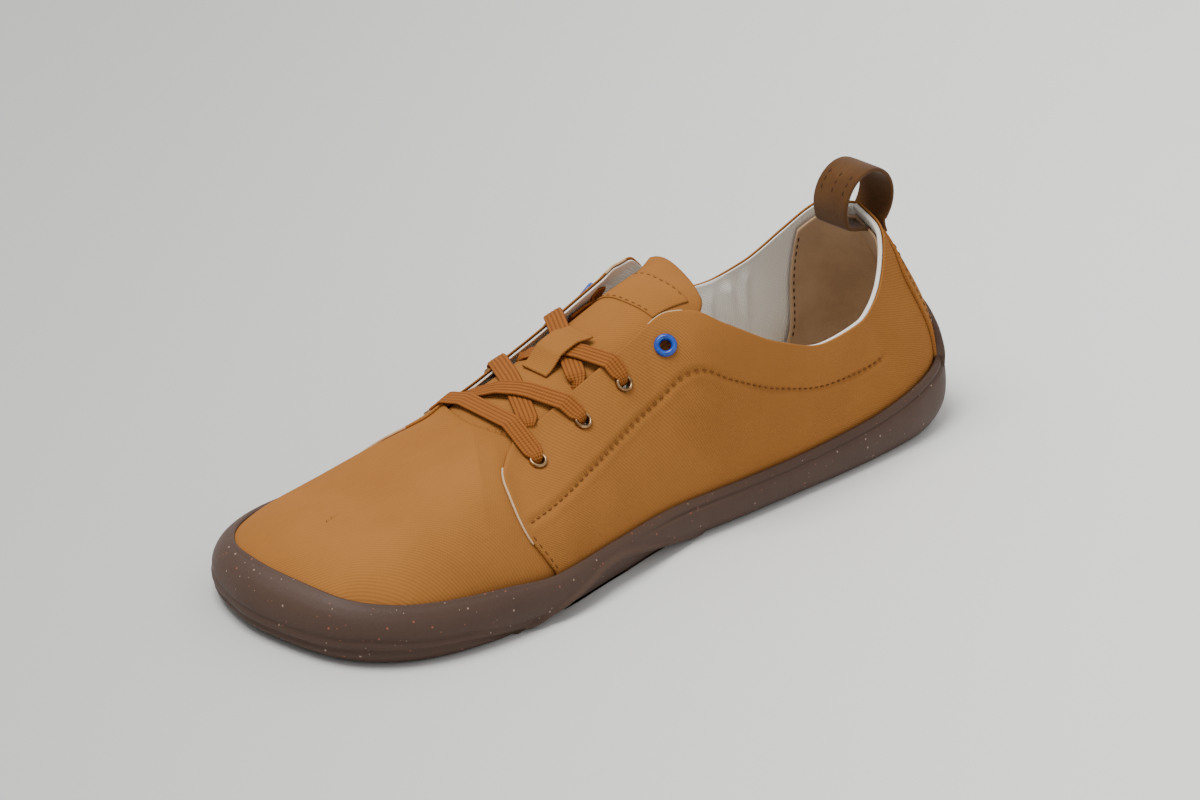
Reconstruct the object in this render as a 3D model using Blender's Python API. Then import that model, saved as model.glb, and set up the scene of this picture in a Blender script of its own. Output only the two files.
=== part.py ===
"""A right barefoot shoe in canvas on a rubber cup sole, standing empty on the floor.

The toe points along +X, the inner side of the foot is +Y and the floor is z = 0.
"""
import math

import bmesh
import bpy
import numpy as np
from mathutils import Vector
from mathutils.bvhtree import BVHTree

LENGTH = 0.284          # over the rubber, heel to toe
BALL_WIDTH = 0.097      # over the rubber, across the ball
HEEL_HEIGHT = 0.070     # floor to the top of the collar at the heel
RIM = 0.0128            # floor to the top of the rubber beside the arch
FLOOR = 0.0058          # rubber under the foot
LIP = 0.0014            # thickness of the rubber's upper edge
GAP = 0.00035           # air kept between two pieces
WALL = 0.0020           # canvas and lining where the quarter lies on the vamp
STEP = 0.0008           # the quarter stands this much proud of the vamp
LACE_WIDTH = 0.0065
LACE_THICK = 0.0012
EYELET = 0.0033         # outer radius of an eyelet
EYELET_HOLE = 0.0016    # its hole
BARREL = 0.0020         # its barrel, through the canvas
INSOLE_THICK = 0.0035
TONGUE_THICK = 0.0020
STRAP_WIDTH = 0.0150    # pull loop
STRAP_THICK = 0.0016
LOOP_RADIUS = 0.0092
PATCH_THICK = 0.0009    # heel patches
KEEPER_WIDTH = 0.0130
KEEPER_THICK = 0.0008
GROOVE_WIDTH = 0.0026   # between the main lugs
GROOVE_DEPTH = 0.0015
PAD_WIDTH = 0.0020      # around each pad
PAD_DEPTH = 0.0012
RECESS_DEPTH = 0.0014   # lens in the arch side
SIDE_STEP = 0.0006      # grooves and steps of the rubber's side

# Outline of the sole at its widest level, from the heel round to the toe.
# Columns: along (share of LENGTH), across (share of BALL_WIDTH).
MEDIAL_OUTLINE = (
    (0.000, -0.02),
    (0.010, 0.125),
    (0.042, 0.245),
    (0.100, 0.315),
    (0.180, 0.345),
    (0.280, 0.365),
    (0.400, 0.380),
    (0.520, 0.387),
    (0.620, 0.438),
    (0.720, 0.496),
    (0.820, 0.508),
    (0.895, 0.478),
    (0.950, 0.398),
    (0.985, 0.262),
    (1.000, 0.020),
)
LATERAL_OUTLINE = (
    (0.000, -0.02),
    (0.010, -0.165),
    (0.040, -0.265),
    (0.100, -0.325),
    (0.180, -0.330),
    (0.280, -0.335),
    (0.400, -0.355),
    (0.520, -0.415),
    (0.620, -0.470),
    (0.720, -0.500),
    (0.800, -0.500),
    (0.870, -0.472),
    (0.930, -0.400),
    (0.970, -0.290),
    (0.992, -0.145),
    (1.000, 0.020),
)

# Height and roundness of the rubber, in shares of RIM.
# Columns: along (share of LENGTH), tread, rim, tuck of the tread, tuck of the rim.
SOLE = (
    (0.00, 0.22, 1.85, 0.50, 0.22),
    (0.05, 0.06, 1.62, 0.45, 0.22),
    (0.10, 0.00, 1.42, 0.36, 0.22),
    (0.20, 0.00, 1.10, 0.30, 0.22),
    (0.35, 0.04, 0.98, 0.28, 0.22),
    (0.50, 0.04, 0.98, 0.28, 0.22),
    (0.60, 0.00, 0.96, 0.26, 0.22),
    (0.72, 0.00, 0.96, 0.27, 0.24),
    (0.80, 0.00, 1.14, 0.33, 0.34),
    (0.88, 0.01, 1.27, 0.36, 0.40),
    (0.94, 0.04, 1.36, 0.36, 0.42),
    (0.98, 0.08, 1.46, 0.36, 0.42),
    (1.00, 0.10, 1.54, 0.36, 0.42),
)

# The upper's top line on each side, over ribs that start at a share of the outline.
# Columns: rib, x (of LENGTH), y (of BALL_WIDTH), z (of HEEL_HEIGHT), lean at the
# foot (degrees from upright), slope at the top (degrees from level), two handles.
MEDIAL_TOP = (
    (0.000, 0.095, -0.050, 1.000, 8, 62, 0.35, 0.35),
    (0.060, 0.106, 0.080, 0.945, 8, 66, 0.35, 0.35),
    (0.130, 0.137, 0.175, 0.760, 8, 74, 0.35, 0.35),
    (0.200, 0.194, 0.247, 0.645, 8, 80, 0.35, 0.35),
    (0.270, 0.264, 0.285, 0.640, 8, 82, 0.35, 0.35),
    (0.350, 0.345, 0.297, 0.735, 8, 80, 0.35, 0.35),
    (0.420, 0.420, 0.257, 0.890, 8, 66, 0.35, 0.35),
    (0.455, 0.454, 0.200, 0.960, 8, 52, 0.38, 0.32),
    (0.480, 0.474, 0.140, 0.940, 9, 42, 0.40, 0.30),
    (0.505, 0.498, 0.122, 0.880, 10, 50, 0.40, 0.28),
    (0.600, 0.590, 0.122, 0.722, 12, 46, 0.40, 0.28),
    (0.700, 0.680, 0.115, 0.585, 14, 38, 0.40, 0.30),
    (0.722, 0.688, 0.040, 0.596, 17, 12, 0.40, 0.36),
    (0.745, 0.692, -0.050, 0.600, 20, 0, 0.40, 0.38),
)
LATERAL_TOP = (
    (0.000, 0.095, -0.050, 1.000, 8, 62, 0.35, 0.35),
    (0.060, 0.106, -0.185, 0.965, 8, 68, 0.35, 0.35),
    (0.130, 0.138, -0.262, 0.835, 8, 76, 0.35, 0.35),
    (0.200, 0.193, -0.298, 0.700, 8, 82, 0.35, 0.35),
    (0.270, 0.255, -0.307, 0.655, 8, 82, 0.35, 0.35),
    (0.350, 0.327, -0.303, 0.720, 8, 78, 0.35, 0.35),
    (0.420, 0.386, -0.275, 0.865, 8, 66, 0.35, 0.35),
    (0.455, 0.406, -0.235, 0.950, 8, 54, 0.38, 0.32),
    (0.480, 0.425, -0.212, 0.965, 9, 44, 0.40, 0.30),
    (0.505, 0.450, -0.208, 0.925, 10, 56, 0.38, 0.28),
    (0.600, 0.565, -0.210, 0.735, 13, 54, 0.38, 0.28),
    (0.700, 0.674, -0.215, 0.590, 22, 48, 0.33, 0.28),
    (0.722, 0.686, -0.140, 0.596, 34, 18, 0.30, 0.32),
    (0.745, 0.692, -0.050, 0.600, 42, 0, 0.26, 0.38),
)
# The middle of the vamp, reached from the inner side and, flatter, from the outer one.
RIDGE = (
    (0.745, 0.692, -0.050, 0.600, 20, 0, 0.40, 0.38),
    (0.820, 0.750, -0.045, 0.525, 28, 0, 0.38, 0.38),
    (0.900, 0.822, -0.035, 0.452, 38, 0, 0.36, 0.38),
    (1.000, 0.892, -0.010, 0.405, 50, 0, 0.35, 0.38),
)
OUTER_RIDGE = (
    (0.745, 0.692, -0.050, 0.600, 42, 0, 0.26, 0.38),
    (0.820, 0.750, -0.045, 0.525, 42, 0, 0.28, 0.38),
    (0.900, 0.822, -0.035, 0.452, 46, 0, 0.32, 0.38),
    (1.000, 0.892, -0.010, 0.405, 50, 0, 0.35, 0.38),
)
FRONT_EDGE = 0.700      # rib where the quarter's raw edge comes down to the rubber
RIDGE_START = 0.745     # rib where the two sides of the vamp meet

# Columns: x (of LENGTH), centre, half width (of BALL_WIDTH), crown, drop (of HEEL_HEIGHT).
TONGUE = (
    (0.345, -0.07, 0.190, 1.010, 0.070),
    (0.400, -0.045, 0.165, 0.975, 0.100),
    (0.450, -0.04, 0.170, 0.925, 0.130),
    (0.520, -0.04, 0.170, 0.825, 0.130),
    (0.600, -0.045, 0.180, 0.708, 0.130),
    (0.665, -0.05, 0.185, 0.610, 0.130),
    (0.700, -0.05, 0.180, 0.552, 0.125),
    (0.735, -0.05, 0.175, 0.504, 0.120),
)

# Tread grooves, as (x share of LENGTH, y share of BALL_WIDTH).
CROSS_GROOVE = ((0.710, 0.56), (0.725, 0.40), (0.742, 0.20), (0.750, 0.00), (0.753, -0.20), (0.762, -0.37))
LONG_GROOVE = ((0.430, 0.42), (0.520, 0.345), (0.640, 0.235), (0.742, 0.150), (0.850, 0.060), (0.945, -0.020))
PAD_GROOVES = (
    # ball
    ((0.725, 0.10), (0.640, 0.155), (0.560, 0.130), (0.500, 0.060), (0.482, -0.040), (0.510, -0.190),
     (0.560, -0.320), (0.630, -0.400), (0.690, -0.390), (0.724, -0.300), (0.732, -0.100)),
    # heel
    ((0.378, -0.02), (0.310, 0.090), (0.230, 0.125), (0.140, 0.085), (0.065, 0.045), (0.035, -0.060),
     (0.045, -0.170), (0.100, -0.255), (0.180, -0.270), (0.255, -0.240), (0.325, -0.150)),
    # inner side, heel to arch
    ((0.150, 0.200), (0.250, 0.175), (0.345, 0.125), (0.420, 0.020), (0.455, 0.030), (0.460, 0.095),
     (0.420, 0.205), (0.370, 0.300), (0.280, 0.295), (0.180, 0.270)),
    # small pad inside the long groove
    ((0.425, 0.300), (0.500, 0.165), (0.560, 0.165), (0.618, 0.195), (0.530, 0.275)),
    # toes, outer and inner
    ((0.770, 0.060), (0.772, -0.150), (0.785, -0.350), (0.850, -0.340), (0.905, -0.260), (0.935, -0.110),
     (0.925, -0.060), (0.850, 0.010)),
    ((0.768, 0.165), (0.755, 0.380), (0.830, 0.410), (0.890, 0.360), (0.935, 0.240), (0.940, 0.050),
     (0.860, 0.110)),
)
# Lens-shaped recess in the arch side: x (of LENGTH), top (of RIM).
ARCH_RECESS = ((0.445, -0.05), (0.500, 0.24), (0.560, 0.42), (0.620, 0.50), (0.680, 0.30), (0.735, -0.05))

# Eyelets: name, side (+1 inner, -1 outer), rib, way down from the throat edge (m).
EYELETS = (
    ("eyelet_inner_1", 1, 0.668, 0.0120),
    ("eyelet_inner_2", 1, 0.602, 0.0110),
    ("eyelet_inner_3", 1, 0.540, 0.0100),
    ("eyelet_inner_top", 1, 0.486, 0.0095),
    ("eyelet_outer_1", -1, 0.668, 0.0120),
    ("eyelet_outer_2", -1, 0.602, 0.0110),
    ("eyelet_outer_3", -1, 0.540, 0.0100),
    ("eyelet_outer_top", -1, 0.486, 0.0115),
)


def lookup(table, key):
    """Read a table between its rows on a smooth curve that never overshoots them."""
    rows = np.array(table, float)
    keys = rows[:, 0]
    values = rows[:, 1:]
    width = np.diff(keys)[:, None]
    steps = np.diff(values, axis=0) / width
    slopes = np.zeros_like(values)
    slopes[0] = steps[0]
    slopes[-1] = steps[-1]
    together = steps[:-1] * steps[1:] > 0
    total = np.where(together, np.abs(steps[:-1]) + np.abs(steps[1:]), 1.0)
    mean = 2 * steps[:-1] * np.abs(steps[1:]) / total
    slopes[1:-1] = np.where(together, mean, 0.0)
    index = int(np.clip(np.searchsorted(keys, key) - 1, 0, len(keys) - 2))
    span = width[index]
    t = (key - keys[index]) / span
    before = (1 + 2 * t) * (1 - t) ** 2 * values[index] + t * (1 - t) ** 2 * span * slopes[index]
    after = t * t * (3 - 2 * t) * values[index + 1] + t * t * (t - 1) * span * slopes[index + 1]
    return before + after


def curve(points, count, closed=False):
    """Spread count points evenly along a smooth curve through the given ones."""
    points = np.array(points, float)
    if closed:
        around = np.vstack([points[-1], points, points[:2]])
    else:
        around = np.vstack([2 * points[0] - points[1], points, 2 * points[-1] - points[-2]])
    dense = []
    for a, b, c, d in zip(around, around[1:], around[2:], around[3:]):
        for t in np.linspace(0, 1, 24, endpoint=False):
            dense.append(0.5 * (2 * b + (c - a) * t + (2 * a - 5 * b + 4 * c - d) * t ** 2
                                + (3 * b - a - 3 * c + d) * t ** 3))
    dense.append(around[-2])
    dense = np.array(dense)
    length = np.concatenate([[0], np.cumsum(np.linalg.norm(np.diff(dense, axis=0), axis=1))])
    wanted = np.linspace(0, length[-1], count, endpoint=not closed)
    return np.array([np.interp(wanted, length, column) for column in dense.T]).T


def read_outline():
    """The whole outline as dense points, split into its two sides."""
    size = np.array([LENGTH, BALL_WIDTH])
    loop = list(MEDIAL_OUTLINE) + list(LATERAL_OUTLINE[-2:0:-1])
    dense = curve(np.array(loop) * size, 1440, closed=True)
    toe = int(np.argmin(np.linalg.norm(dense - np.array([1.0, 0.02]) * size, axis=1)))
    medial = dense[:toe + 1]
    lateral = np.vstack([dense[toe:], dense[:1]])[::-1]
    return {1: medial, -1: lateral}


OUTLINE = read_outline()


def foot(side, share, inset):
    """A point of the outline, moved inward, with the inward direction."""
    points = OUTLINE[side]
    place = share * (len(points) - 1)
    index = np.arange(len(points))
    ends = []
    for at in (place - 6, place, place + 6):
        if at < 0:
            other = OUTLINE[-side]
            ends.append(np.array([np.interp(-at, np.arange(len(other)), other[:, i]) for i in (0, 1)]))
        elif at > len(points) - 1:
            other = OUTLINE[-side]
            back = 2 * (len(points) - 1) - at
            back = back - (len(points) - 1) + (len(other) - 1)
            ends.append(np.array([np.interp(back, np.arange(len(other)), other[:, i]) for i in (0, 1)]))
        else:
            ends.append(np.array([np.interp(at, index, points[:, i]) for i in (0, 1)]))
    along = ends[2] - ends[0]
    inward = side * np.array([along[1], -along[0]]) / np.linalg.norm(along)
    return ends[1] + inward * inset, inward


def sole_sizes(x):
    """Tread height, rim height, tuck of the tread and tuck of the rim at a place."""
    return lookup(SOLE, min(max(x / LENGTH, 0), 1)) * RIM


def sole_at(side, share):
    point, inward = foot(side, share, 0)
    return sole_sizes(point[0])


def rib(side, share):
    """The four control points of a rib of the upper, rim to top line."""
    tread, rim, tuck, inset = sole_at(side, share)
    point, inward = foot(side, share, inset + LIP + 0.0006)
    start = np.array([point[0], point[1], rim])
    if share >= RIDGE_START:
        row = lookup(RIDGE if side > 0 else OUTER_RIDGE, share)
        below = lookup(RIDGE, min(share + 0.01, 1.0)) - lookup(RIDGE, min(share + 0.01, 1.0) - 0.01)
        slope = below[2] * HEEL_HEIGHT / (below[0] * LENGTH)
    else:
        row = lookup(MEDIAL_TOP if side > 0 else LATERAL_TOP, share)
        slope = 0.0
    top = np.array([row[0] * LENGTH, row[1] * BALL_WIDTH, row[2] * HEEL_HEIGHT])
    lean, rise, first, last = row[3], row[4], row[5], row[6]
    reach = np.linalg.norm(top - start)
    lean = math.radians(lean)
    away = np.array([inward[0] * math.sin(lean), inward[1] * math.sin(lean), math.cos(lean)])
    flat = top[:2] - start[:2]
    flat = flat / np.linalg.norm(flat)
    if share < 0.5:
        blend = share / 0.5
        flat = inward * (1 - blend) + flat * blend
        flat = flat / np.linalg.norm(flat)
    rise = math.radians(rise)
    onto = np.array([flat[0] * math.cos(rise), flat[1] * math.cos(rise), math.sin(rise) + flat[0] * slope])
    onto = onto / np.linalg.norm(onto)
    return start, start + away * reach * first, top - onto * reach * last, top


def surface(side, share, v):
    """A point of the upper's outer face, v from the rim (0) to the top line (1)."""
    a, b, c, d = rib(side, share)
    return (1 - v) ** 3 * a + 3 * v * (1 - v) ** 2 * b + 3 * v * v * (1 - v) * c + v ** 3 * d


def outward(side, share, v):
    """The outward direction of that face."""
    low, high = max(share - 0.004, 0.0), min(share + 0.004, 1.0)
    along = surface(side, high, v) - surface(side, low, v)
    up = surface(side, share, min(v + 0.01, 1)) - surface(side, share, max(v - 0.01, 0))
    normal = np.cross(up, along) * side
    return normal / np.linalg.norm(normal)


def down_from_top(side, share, way):
    """The v that lies a way down the rib from the top line."""
    vs = np.linspace(1, 0, 80)
    points = np.array([surface(side, share, v) for v in vs])
    length = np.concatenate([[0], np.cumsum(np.linalg.norm(np.diff(points, axis=0), axis=1))])
    return float(np.interp(way, length, vs))


def material(name, colour, roughness, metallic=0.0):
    shade = bpy.data.materials.new(name)
    shade.use_nodes = True
    principled = shade.node_tree.nodes["Principled BSDF"]
    principled.inputs["Base Color"].default_value = (*colour, 1.0)
    principled.inputs["Roughness"].default_value = roughness
    principled.inputs["Metallic"].default_value = metallic
    shade.diffuse_color = (*colour, 1.0)
    return shade


def make_object(name, points, faces, shade):
    """A mesh object with its faces turned outward."""
    mesh = bpy.data.meshes.new(name)
    mesh.from_pydata([tuple(p) for p in points], [], [tuple(f) for f in faces])
    work = bmesh.new()
    work.from_mesh(mesh)
    bmesh.ops.remove_doubles(work, verts=work.verts, dist=1e-6)
    bmesh.ops.dissolve_degenerate(work, edges=work.edges, dist=1e-7)
    bmesh.ops.recalc_face_normals(work, faces=work.faces)
    if work.calc_volume(signed=True) < 0:
        bmesh.ops.reverse_faces(work, faces=work.faces)
    work.to_mesh(mesh)
    work.free()
    made = bpy.data.objects.new(name, mesh)
    bpy.context.scene.collection.objects.link(made)
    if shade is not None:
        mesh.materials.append(shade)
    return made


def grid_faces(rows, columns, wrap=False):
    """Quads of a grid of points that is stored row after row."""
    faces = []
    for r in range(rows - 1):
        for c in range(columns if wrap else columns - 1):
            n = (c + 1) % columns
            faces.append((r * columns + c, r * columns + n, (r + 1) * columns + n, (r + 1) * columns + c))
    return faces


def plate(name, outer, inner, shade):
    """A closed sheet between two grids of the same size."""
    rows, columns = len(outer), len(outer[0])
    points = [p for row in outer for p in row] + [p for row in inner for p in row]
    top = grid_faces(rows, columns)
    half = rows * columns
    faces = top + [tuple(half + i for i in reversed(f)) for f in top]
    rim = [c for c in range(columns)]
    rim += [r * columns + columns - 1 for r in range(1, rows)]
    rim += [(rows - 1) * columns + c for c in range(columns - 2, -1, -1)]
    rim += [r * columns for r in range(rows - 2, 0, -1)]
    for a, b in zip(rim, rim[1:] + rim[:1]):
        faces.append((b, a, half + a, half + b))
    return make_object(name, points, faces, shade)


def sweep(name, path, normals, width, thick, shade, closed=False):
    """A flat band along a path, its broad side facing the normals."""
    path = np.array(path, float)
    points = []
    for i, place in enumerate(path):
        before = path[i - 1] if closed else path[max(i - 1, 0)]
        after = path[(i + 1) % len(path)] if closed else path[min(i + 1, len(path) - 1)]
        along = (after - before) / np.linalg.norm(after - before)
        normal = np.array(normals[i], float)
        normal = normal - along * (normal @ along)
        normal = normal / np.linalg.norm(normal)
        sideways = np.cross(along, normal)
        for a, b in ((-1, -1), (1, -1), (1, 1), (-1, 1)):
            points.append(place + sideways * a * width / 2 + normal * b * thick / 2)
    faces = grid_faces(len(path), 4, wrap=True)
    last = (len(path) - 1) * 4
    if closed:
        faces += [(last + c, last + (c + 1) % 4, (c + 1) % 4, c) for c in range(4)]
    else:
        faces += [(3, 2, 1, 0), (last, last + 1, last + 2, last + 3)]
    return make_object(name, points, faces, shade)


def hide_cutter(cutter):
    cutter.hide_render = True
    cutter.display_type = "WIRE"


def cut(target, cutter, operation="DIFFERENCE"):
    """Cut one object with another, exactly."""
    hide_cutter(cutter)
    boolean = target.modifiers.new(operation.lower(), "BOOLEAN")
    boolean.operation = operation
    boolean.solver = "EXACT"
    boolean.object = cutter


def join(name, pieces):
    """Make one object of several that stay apart."""
    work = bmesh.new()
    for piece in pieces:
        work.from_mesh(piece.data)
        bpy.data.objects.remove(piece, do_unlink=True)
    mesh = bpy.data.meshes.new(name)
    work.to_mesh(mesh)
    work.free()
    made = bpy.data.objects.new(name, mesh)
    bpy.context.scene.collection.objects.link(made)
    return made


def build_outsole(rubber):
    """The cup sole: tread, rounded wall with its grooves, lip and inside floor."""
    shares = np.linspace(0, 1, 37)
    stations = [(1, s) for s in shares] + [(-1, s) for s in shares[-2:0:-1]]
    points = []
    for side, share in stations:
        tread, rim, tuck, inset = sole_at(side, share)
        point, inward = foot(side, share, 0)
        widest = tread + 0.42 * (rim - tread)
        profile = []
        for angle in (0, 28):
            a = math.radians(angle)
            profile.append((tuck * (1 - math.sin(a)), widest - (widest - tread) * math.cos(a)))
        shelf_in, shelf_z = profile[-1]
        profile.append((shelf_in - SIDE_STEP, shelf_z + 0.0001))
        for angle in (55, 90):
            a = math.radians(angle)
            profile.append((tuck * (1 - math.sin(a)) * 0.8, widest - (widest - tread) * math.cos(a)))
        top_angle = math.radians(72)

        def wall(height):
            part = (height - widest) / (rim - widest) * math.sin(top_angle)
            return inset * (1 - math.cos(math.asin(part))) / (1 - math.cos(top_angle))

        low, high = rim - 0.0030, rim - 0.0016
        middle = widest + (low - widest) * 0.55
        profile.append((wall(middle), middle))
        profile.append((wall(low), low))
        profile.append((wall(low) + SIDE_STEP, low + 0.0003))
        profile.append((wall(high) + SIDE_STEP, high - 0.0003))
        profile.append((wall(high) - 0.0001, high))
        profile.append((wall(rim - 0.0004), rim - 0.0004))
        profile.append((inset + 0.0004, rim))
        profile.append((inset + LIP, rim))
        profile.append((inset + LIP, tread + FLOOR))
        for n, z in profile:
            place = point + inward * n
            points.append((place[0], place[1], z))
    columns = len(points) // len(stations)
    faces = grid_faces(len(stations), columns)
    last = (len(stations) - 1) * columns
    faces += [(last + c, last + c + 1, c + 1, c) for c in range(columns - 1)]
    total = len(stations)
    for column, flip in ((0, False), (columns - 1, True)):
        for i in range(36):
            a, b = i, i + 1
            c, d = (total - b) % total, (total - a) % total
            ring = []
            for station in (a, b, c, d):
                if station * columns + column not in ring:
                    ring.append(station * columns + column)
            faces.append(tuple(reversed(ring)) if flip else tuple(ring))
    sole = make_object("outsole", points, faces, rubber)

    def groove(name, path, closed, width, depth, count):
        size = np.array([LENGTH, BALL_WIDTH])
        line = curve(np.array(path) * size, count, closed)
        full = [(x, y, sole_sizes(x)[0] + depth - 0.0015) for x, y in line]
        return sweep(name, full, [(0, 0, 1)] * len(full), width, 0.003, None, closed)

    cut(sole, groove("cross_groove", CROSS_GROOVE, False, GROOVE_WIDTH, GROOVE_DEPTH, 10))
    cut(sole, groove("long_groove", LONG_GROOVE, False, GROOVE_WIDTH, 0.9 * GROOVE_DEPTH, 14))
    pads = [groove("pad", path, True, PAD_WIDTH, PAD_DEPTH, 2 * len(path)) for path in PAD_GROOVES]
    cut(sole, join("pad_grooves", pads))

    recess = []
    for x_share, top in curve(ARCH_RECESS, 15):
        x = x_share * LENGTH
        share = np.interp(x, OUTLINE[1][:, 0][:600], np.arange(600)) / (len(OUTLINE[1]) - 1)
        row = []
        for n, z in ((-0.006, -0.004), (-0.006, top * RIM), (RECESS_DEPTH, top * RIM), (RECESS_DEPTH + 0.3 * RIM, -0.004)):
            place, inward = foot(1, share, n)
            row.append((place[0], place[1], z))
        recess.append(row)
    ends = [tuple(range(4)), tuple(range(len(recess) * 4 - 1, len(recess) * 4 - 5, -1))]
    faces = grid_faces(len(recess), 4, wrap=True) + ends
    cut(sole, make_object("arch_recess", [p for row in recess for p in row], faces, None))
    return sole


def build_upper(canvas):
    """One hollow canvas wall, open at collar, throat and underneath."""
    before = np.concatenate([np.linspace(0, 0.14, 9, endpoint=False),
                             np.linspace(0.14, 0.44, 10, endpoint=False), np.linspace(0.44, 0.52, 5),
                             np.linspace(0.55, FRONT_EDGE, 6)])
    after = np.concatenate([[FRONT_EDGE + 0.002, 0.712, 0.728], np.linspace(RIDGE_START, 1, 13)])
    shares = list(before) + list(after)
    heights = (0.0, 0.06, 0.18, 0.32, 0.46, 0.60, 0.74, 0.87, 1.0)
    points = []
    behind = []
    columns = len(heights) + 1
    for side in (1, -1):
        for share in shares:
            tread, rim, tuck, inset = sole_at(side, share)
            start = surface(side, share, 0)
            points.append(np.array([start[0], start[1], tread + FLOOR + GAP]))
            behind.append(0.0)
            for v in heights:
                points.append(surface(side, share, v))
                behind.append(STEP if share > FRONT_EDGE and v > 0 else 0.0)
    faces = []
    for half in (0, 1):
        base = half * len(shares) * columns
        for face in grid_faces(len(shares), columns):
            ring = [base + i for i in face]
            faces.append(ring if half else ring[::-1])
    work = bmesh.new()
    depth = work.verts.layers.float.new("depth")
    verts = [work.verts.new(p) for p in points]
    for face in faces:
        work.faces.new([verts[i] for i in face])
    for vert, value in zip(verts, behind):
        vert[depth] = value
    bmesh.ops.remove_doubles(work, verts=work.verts, dist=1e-6)
    bmesh.ops.recalc_face_normals(work, faces=work.faces)
    work.normal_update()
    sample = max(work.verts, key=lambda vert: vert.co.y)
    if sample.normal.y < 0:
        bmesh.ops.reverse_faces(work, faces=work.faces)
        work.normal_update()
    work.verts.index_update()
    outer = [np.array(v.co - v.normal * v[depth]) for v in work.verts]
    inner = [np.array(v.co - v.normal * WALL) for v in work.verts]
    count = len(outer)
    rings = [[v.index for v in f.verts] for f in work.faces]
    sheet = [tuple(ring) for ring in rings] + [tuple(count + i for i in reversed(ring)) for ring in rings]
    for edge in work.edges:
        if len(edge.link_faces) == 1:
            loop = edge.link_loops[0]
            a, b = loop.vert.index, loop.link_loop_next.vert.index
            sheet.append((b, a, count + a, count + b))
    work.free()
    upper = make_object("upper", outer + inner, sheet, canvas)
    drills = []
    for name, side, share, way in EYELETS:
        centre, normal = eyelet_place(side, share, way)
        drills.append(ring_solid("drill", centre, normal, ((0, -3 * WALL), (BARREL + 0.0006, -3 * WALL), (BARREL + 0.0006, 2 * WALL), (0, 2 * WALL)), None))
    cut(upper, join("eyelet_drills", drills))
    return upper


def eyelet_place(side, share, way):
    v = down_from_top(side, share, way)
    return surface(side, share, v), outward(side, share, v)


def ring_solid(name, centre, normal, profile, shade, count=14):
    """Turn a profile of (radius, height) about an axis."""
    normal = np.array(normal)
    first = np.cross(normal, (1.0, 0.0, 0.0))
    first = first / np.linalg.norm(first)
    second = np.cross(normal, first)
    points = []
    rows = []
    for radius, height in profile:
        if radius == 0:
            rows.append([len(points)] * count)
            points.append(centre + normal * height)
            continue
        rows.append(list(range(len(points), len(points) + count)))
        for i in range(count):
            a = 2 * math.pi * i / count
            points.append(centre + (first * math.cos(a) + second * math.sin(a)) * radius + normal * height)
    faces = []
    whole = rows if profile[0][0] == 0 else rows + rows[:1]
    for low, high in zip(whole, whole[1:]):
        for i in range(count):
            n = (i + 1) % count
            ring = []
            for index in (low[i], low[n], high[n], high[i]):
                if index not in ring:
                    ring.append(index)
            if len(ring) > 2:
                faces.append(tuple(ring))
    return make_object(name, points, faces, shade)


def build_eyelets(bronze, blue):
    """Eight rolled eyelets, the top pair painted."""
    made = []
    for name, side, share, way in EYELETS:
        centre, normal = eyelet_place(side, share, way)
        top = name.endswith("top")
        radius = EYELET + (0.0003 if top else 0.0)
        profile = ((EYELET_HOLE, 0.0002 - WALL), (BARREL, 0.0002 - WALL), (BARREL, 2 * GAP), (radius, 2 * GAP + 0.0001),
                   (radius - 0.0006, 2 * GAP + 0.0009), (EYELET_HOLE + 0.0002, 2 * GAP + 0.0005))
        made.append(ring_solid(name, centre, normal, profile, blue if top else bronze, 12))
    return made


def build_insole(foam):
    """A flat foam insole inside the canvas wall."""
    shares = np.linspace(0, 1, 25)
    stations = [(1, s) for s in shares] + [(-1, s) for s in shares[-2:0:-1]]
    low, high = [], []
    for side, share in stations:
        tread, rim, tuck, inset = sole_at(side, share)
        place, inward = foot(side, share, inset + LIP + GAP + WALL + 0.0011)
        low.append((place[0], place[1], tread + FLOOR + GAP))
        high.append((place[0], place[1], tread + FLOOR + GAP + INSOLE_THICK))
    total = len(stations)
    faces = []
    for i in range(24):
        ring = []
        for station in (i, i + 1, (total - i - 1) % total, (total - i) % total):
            if station not in ring:
                ring.append(station)
        faces.append(tuple(ring))
        faces.append(tuple(total + s for s in reversed(ring)))
    for i in range(total):
        n = (i + 1) % total
        faces.append((i, n, total + n, total + i))
    return make_object("insole", low + high, faces, foam)


def tongue_point(x_share, across):
    """A point of the tongue's top face, across from -1 (outer) to 1 (inner)."""
    centre, half, crown, drop = lookup(TONGUE, x_share)
    y = (centre + across * half) * BALL_WIDTH
    sag = 8 * max(0.0, 0.46 - x_share) ** 2 * (across + 1)
    return np.array([x_share * LENGTH, y, (crown - drop * abs(across) ** 3 - sag) * HEEL_HEIGHT])


def build_tongue(canvas):
    xs = np.linspace(TONGUE[0][0], TONGUE[-1][0], 15)
    top, under = [], []
    for x in xs:
        row, below = [], []
        for a in np.linspace(-1, 1, 9):
            cut_back = 0.010 + 0.006 * (a * a)
            x_here = x + cut_back * (1 - (x - xs[0]) / (xs[-1] - xs[0]))
            place = tongue_point(x_here, a)
            lengthways = tongue_point(x_here + 0.004, a) - tongue_point(x_here - 0.004, a)
            sideways = tongue_point(x_here, a + 0.02) - tongue_point(x_here, a - 0.02)
            normal = np.cross(lengthways, sideways)
            normal = normal / np.linalg.norm(normal)
            row.append(place)
            below.append(place - normal * TONGUE_THICK)
        top.append(row)
        under.append(below)
    return plate("tongue", top, under, canvas)


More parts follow.
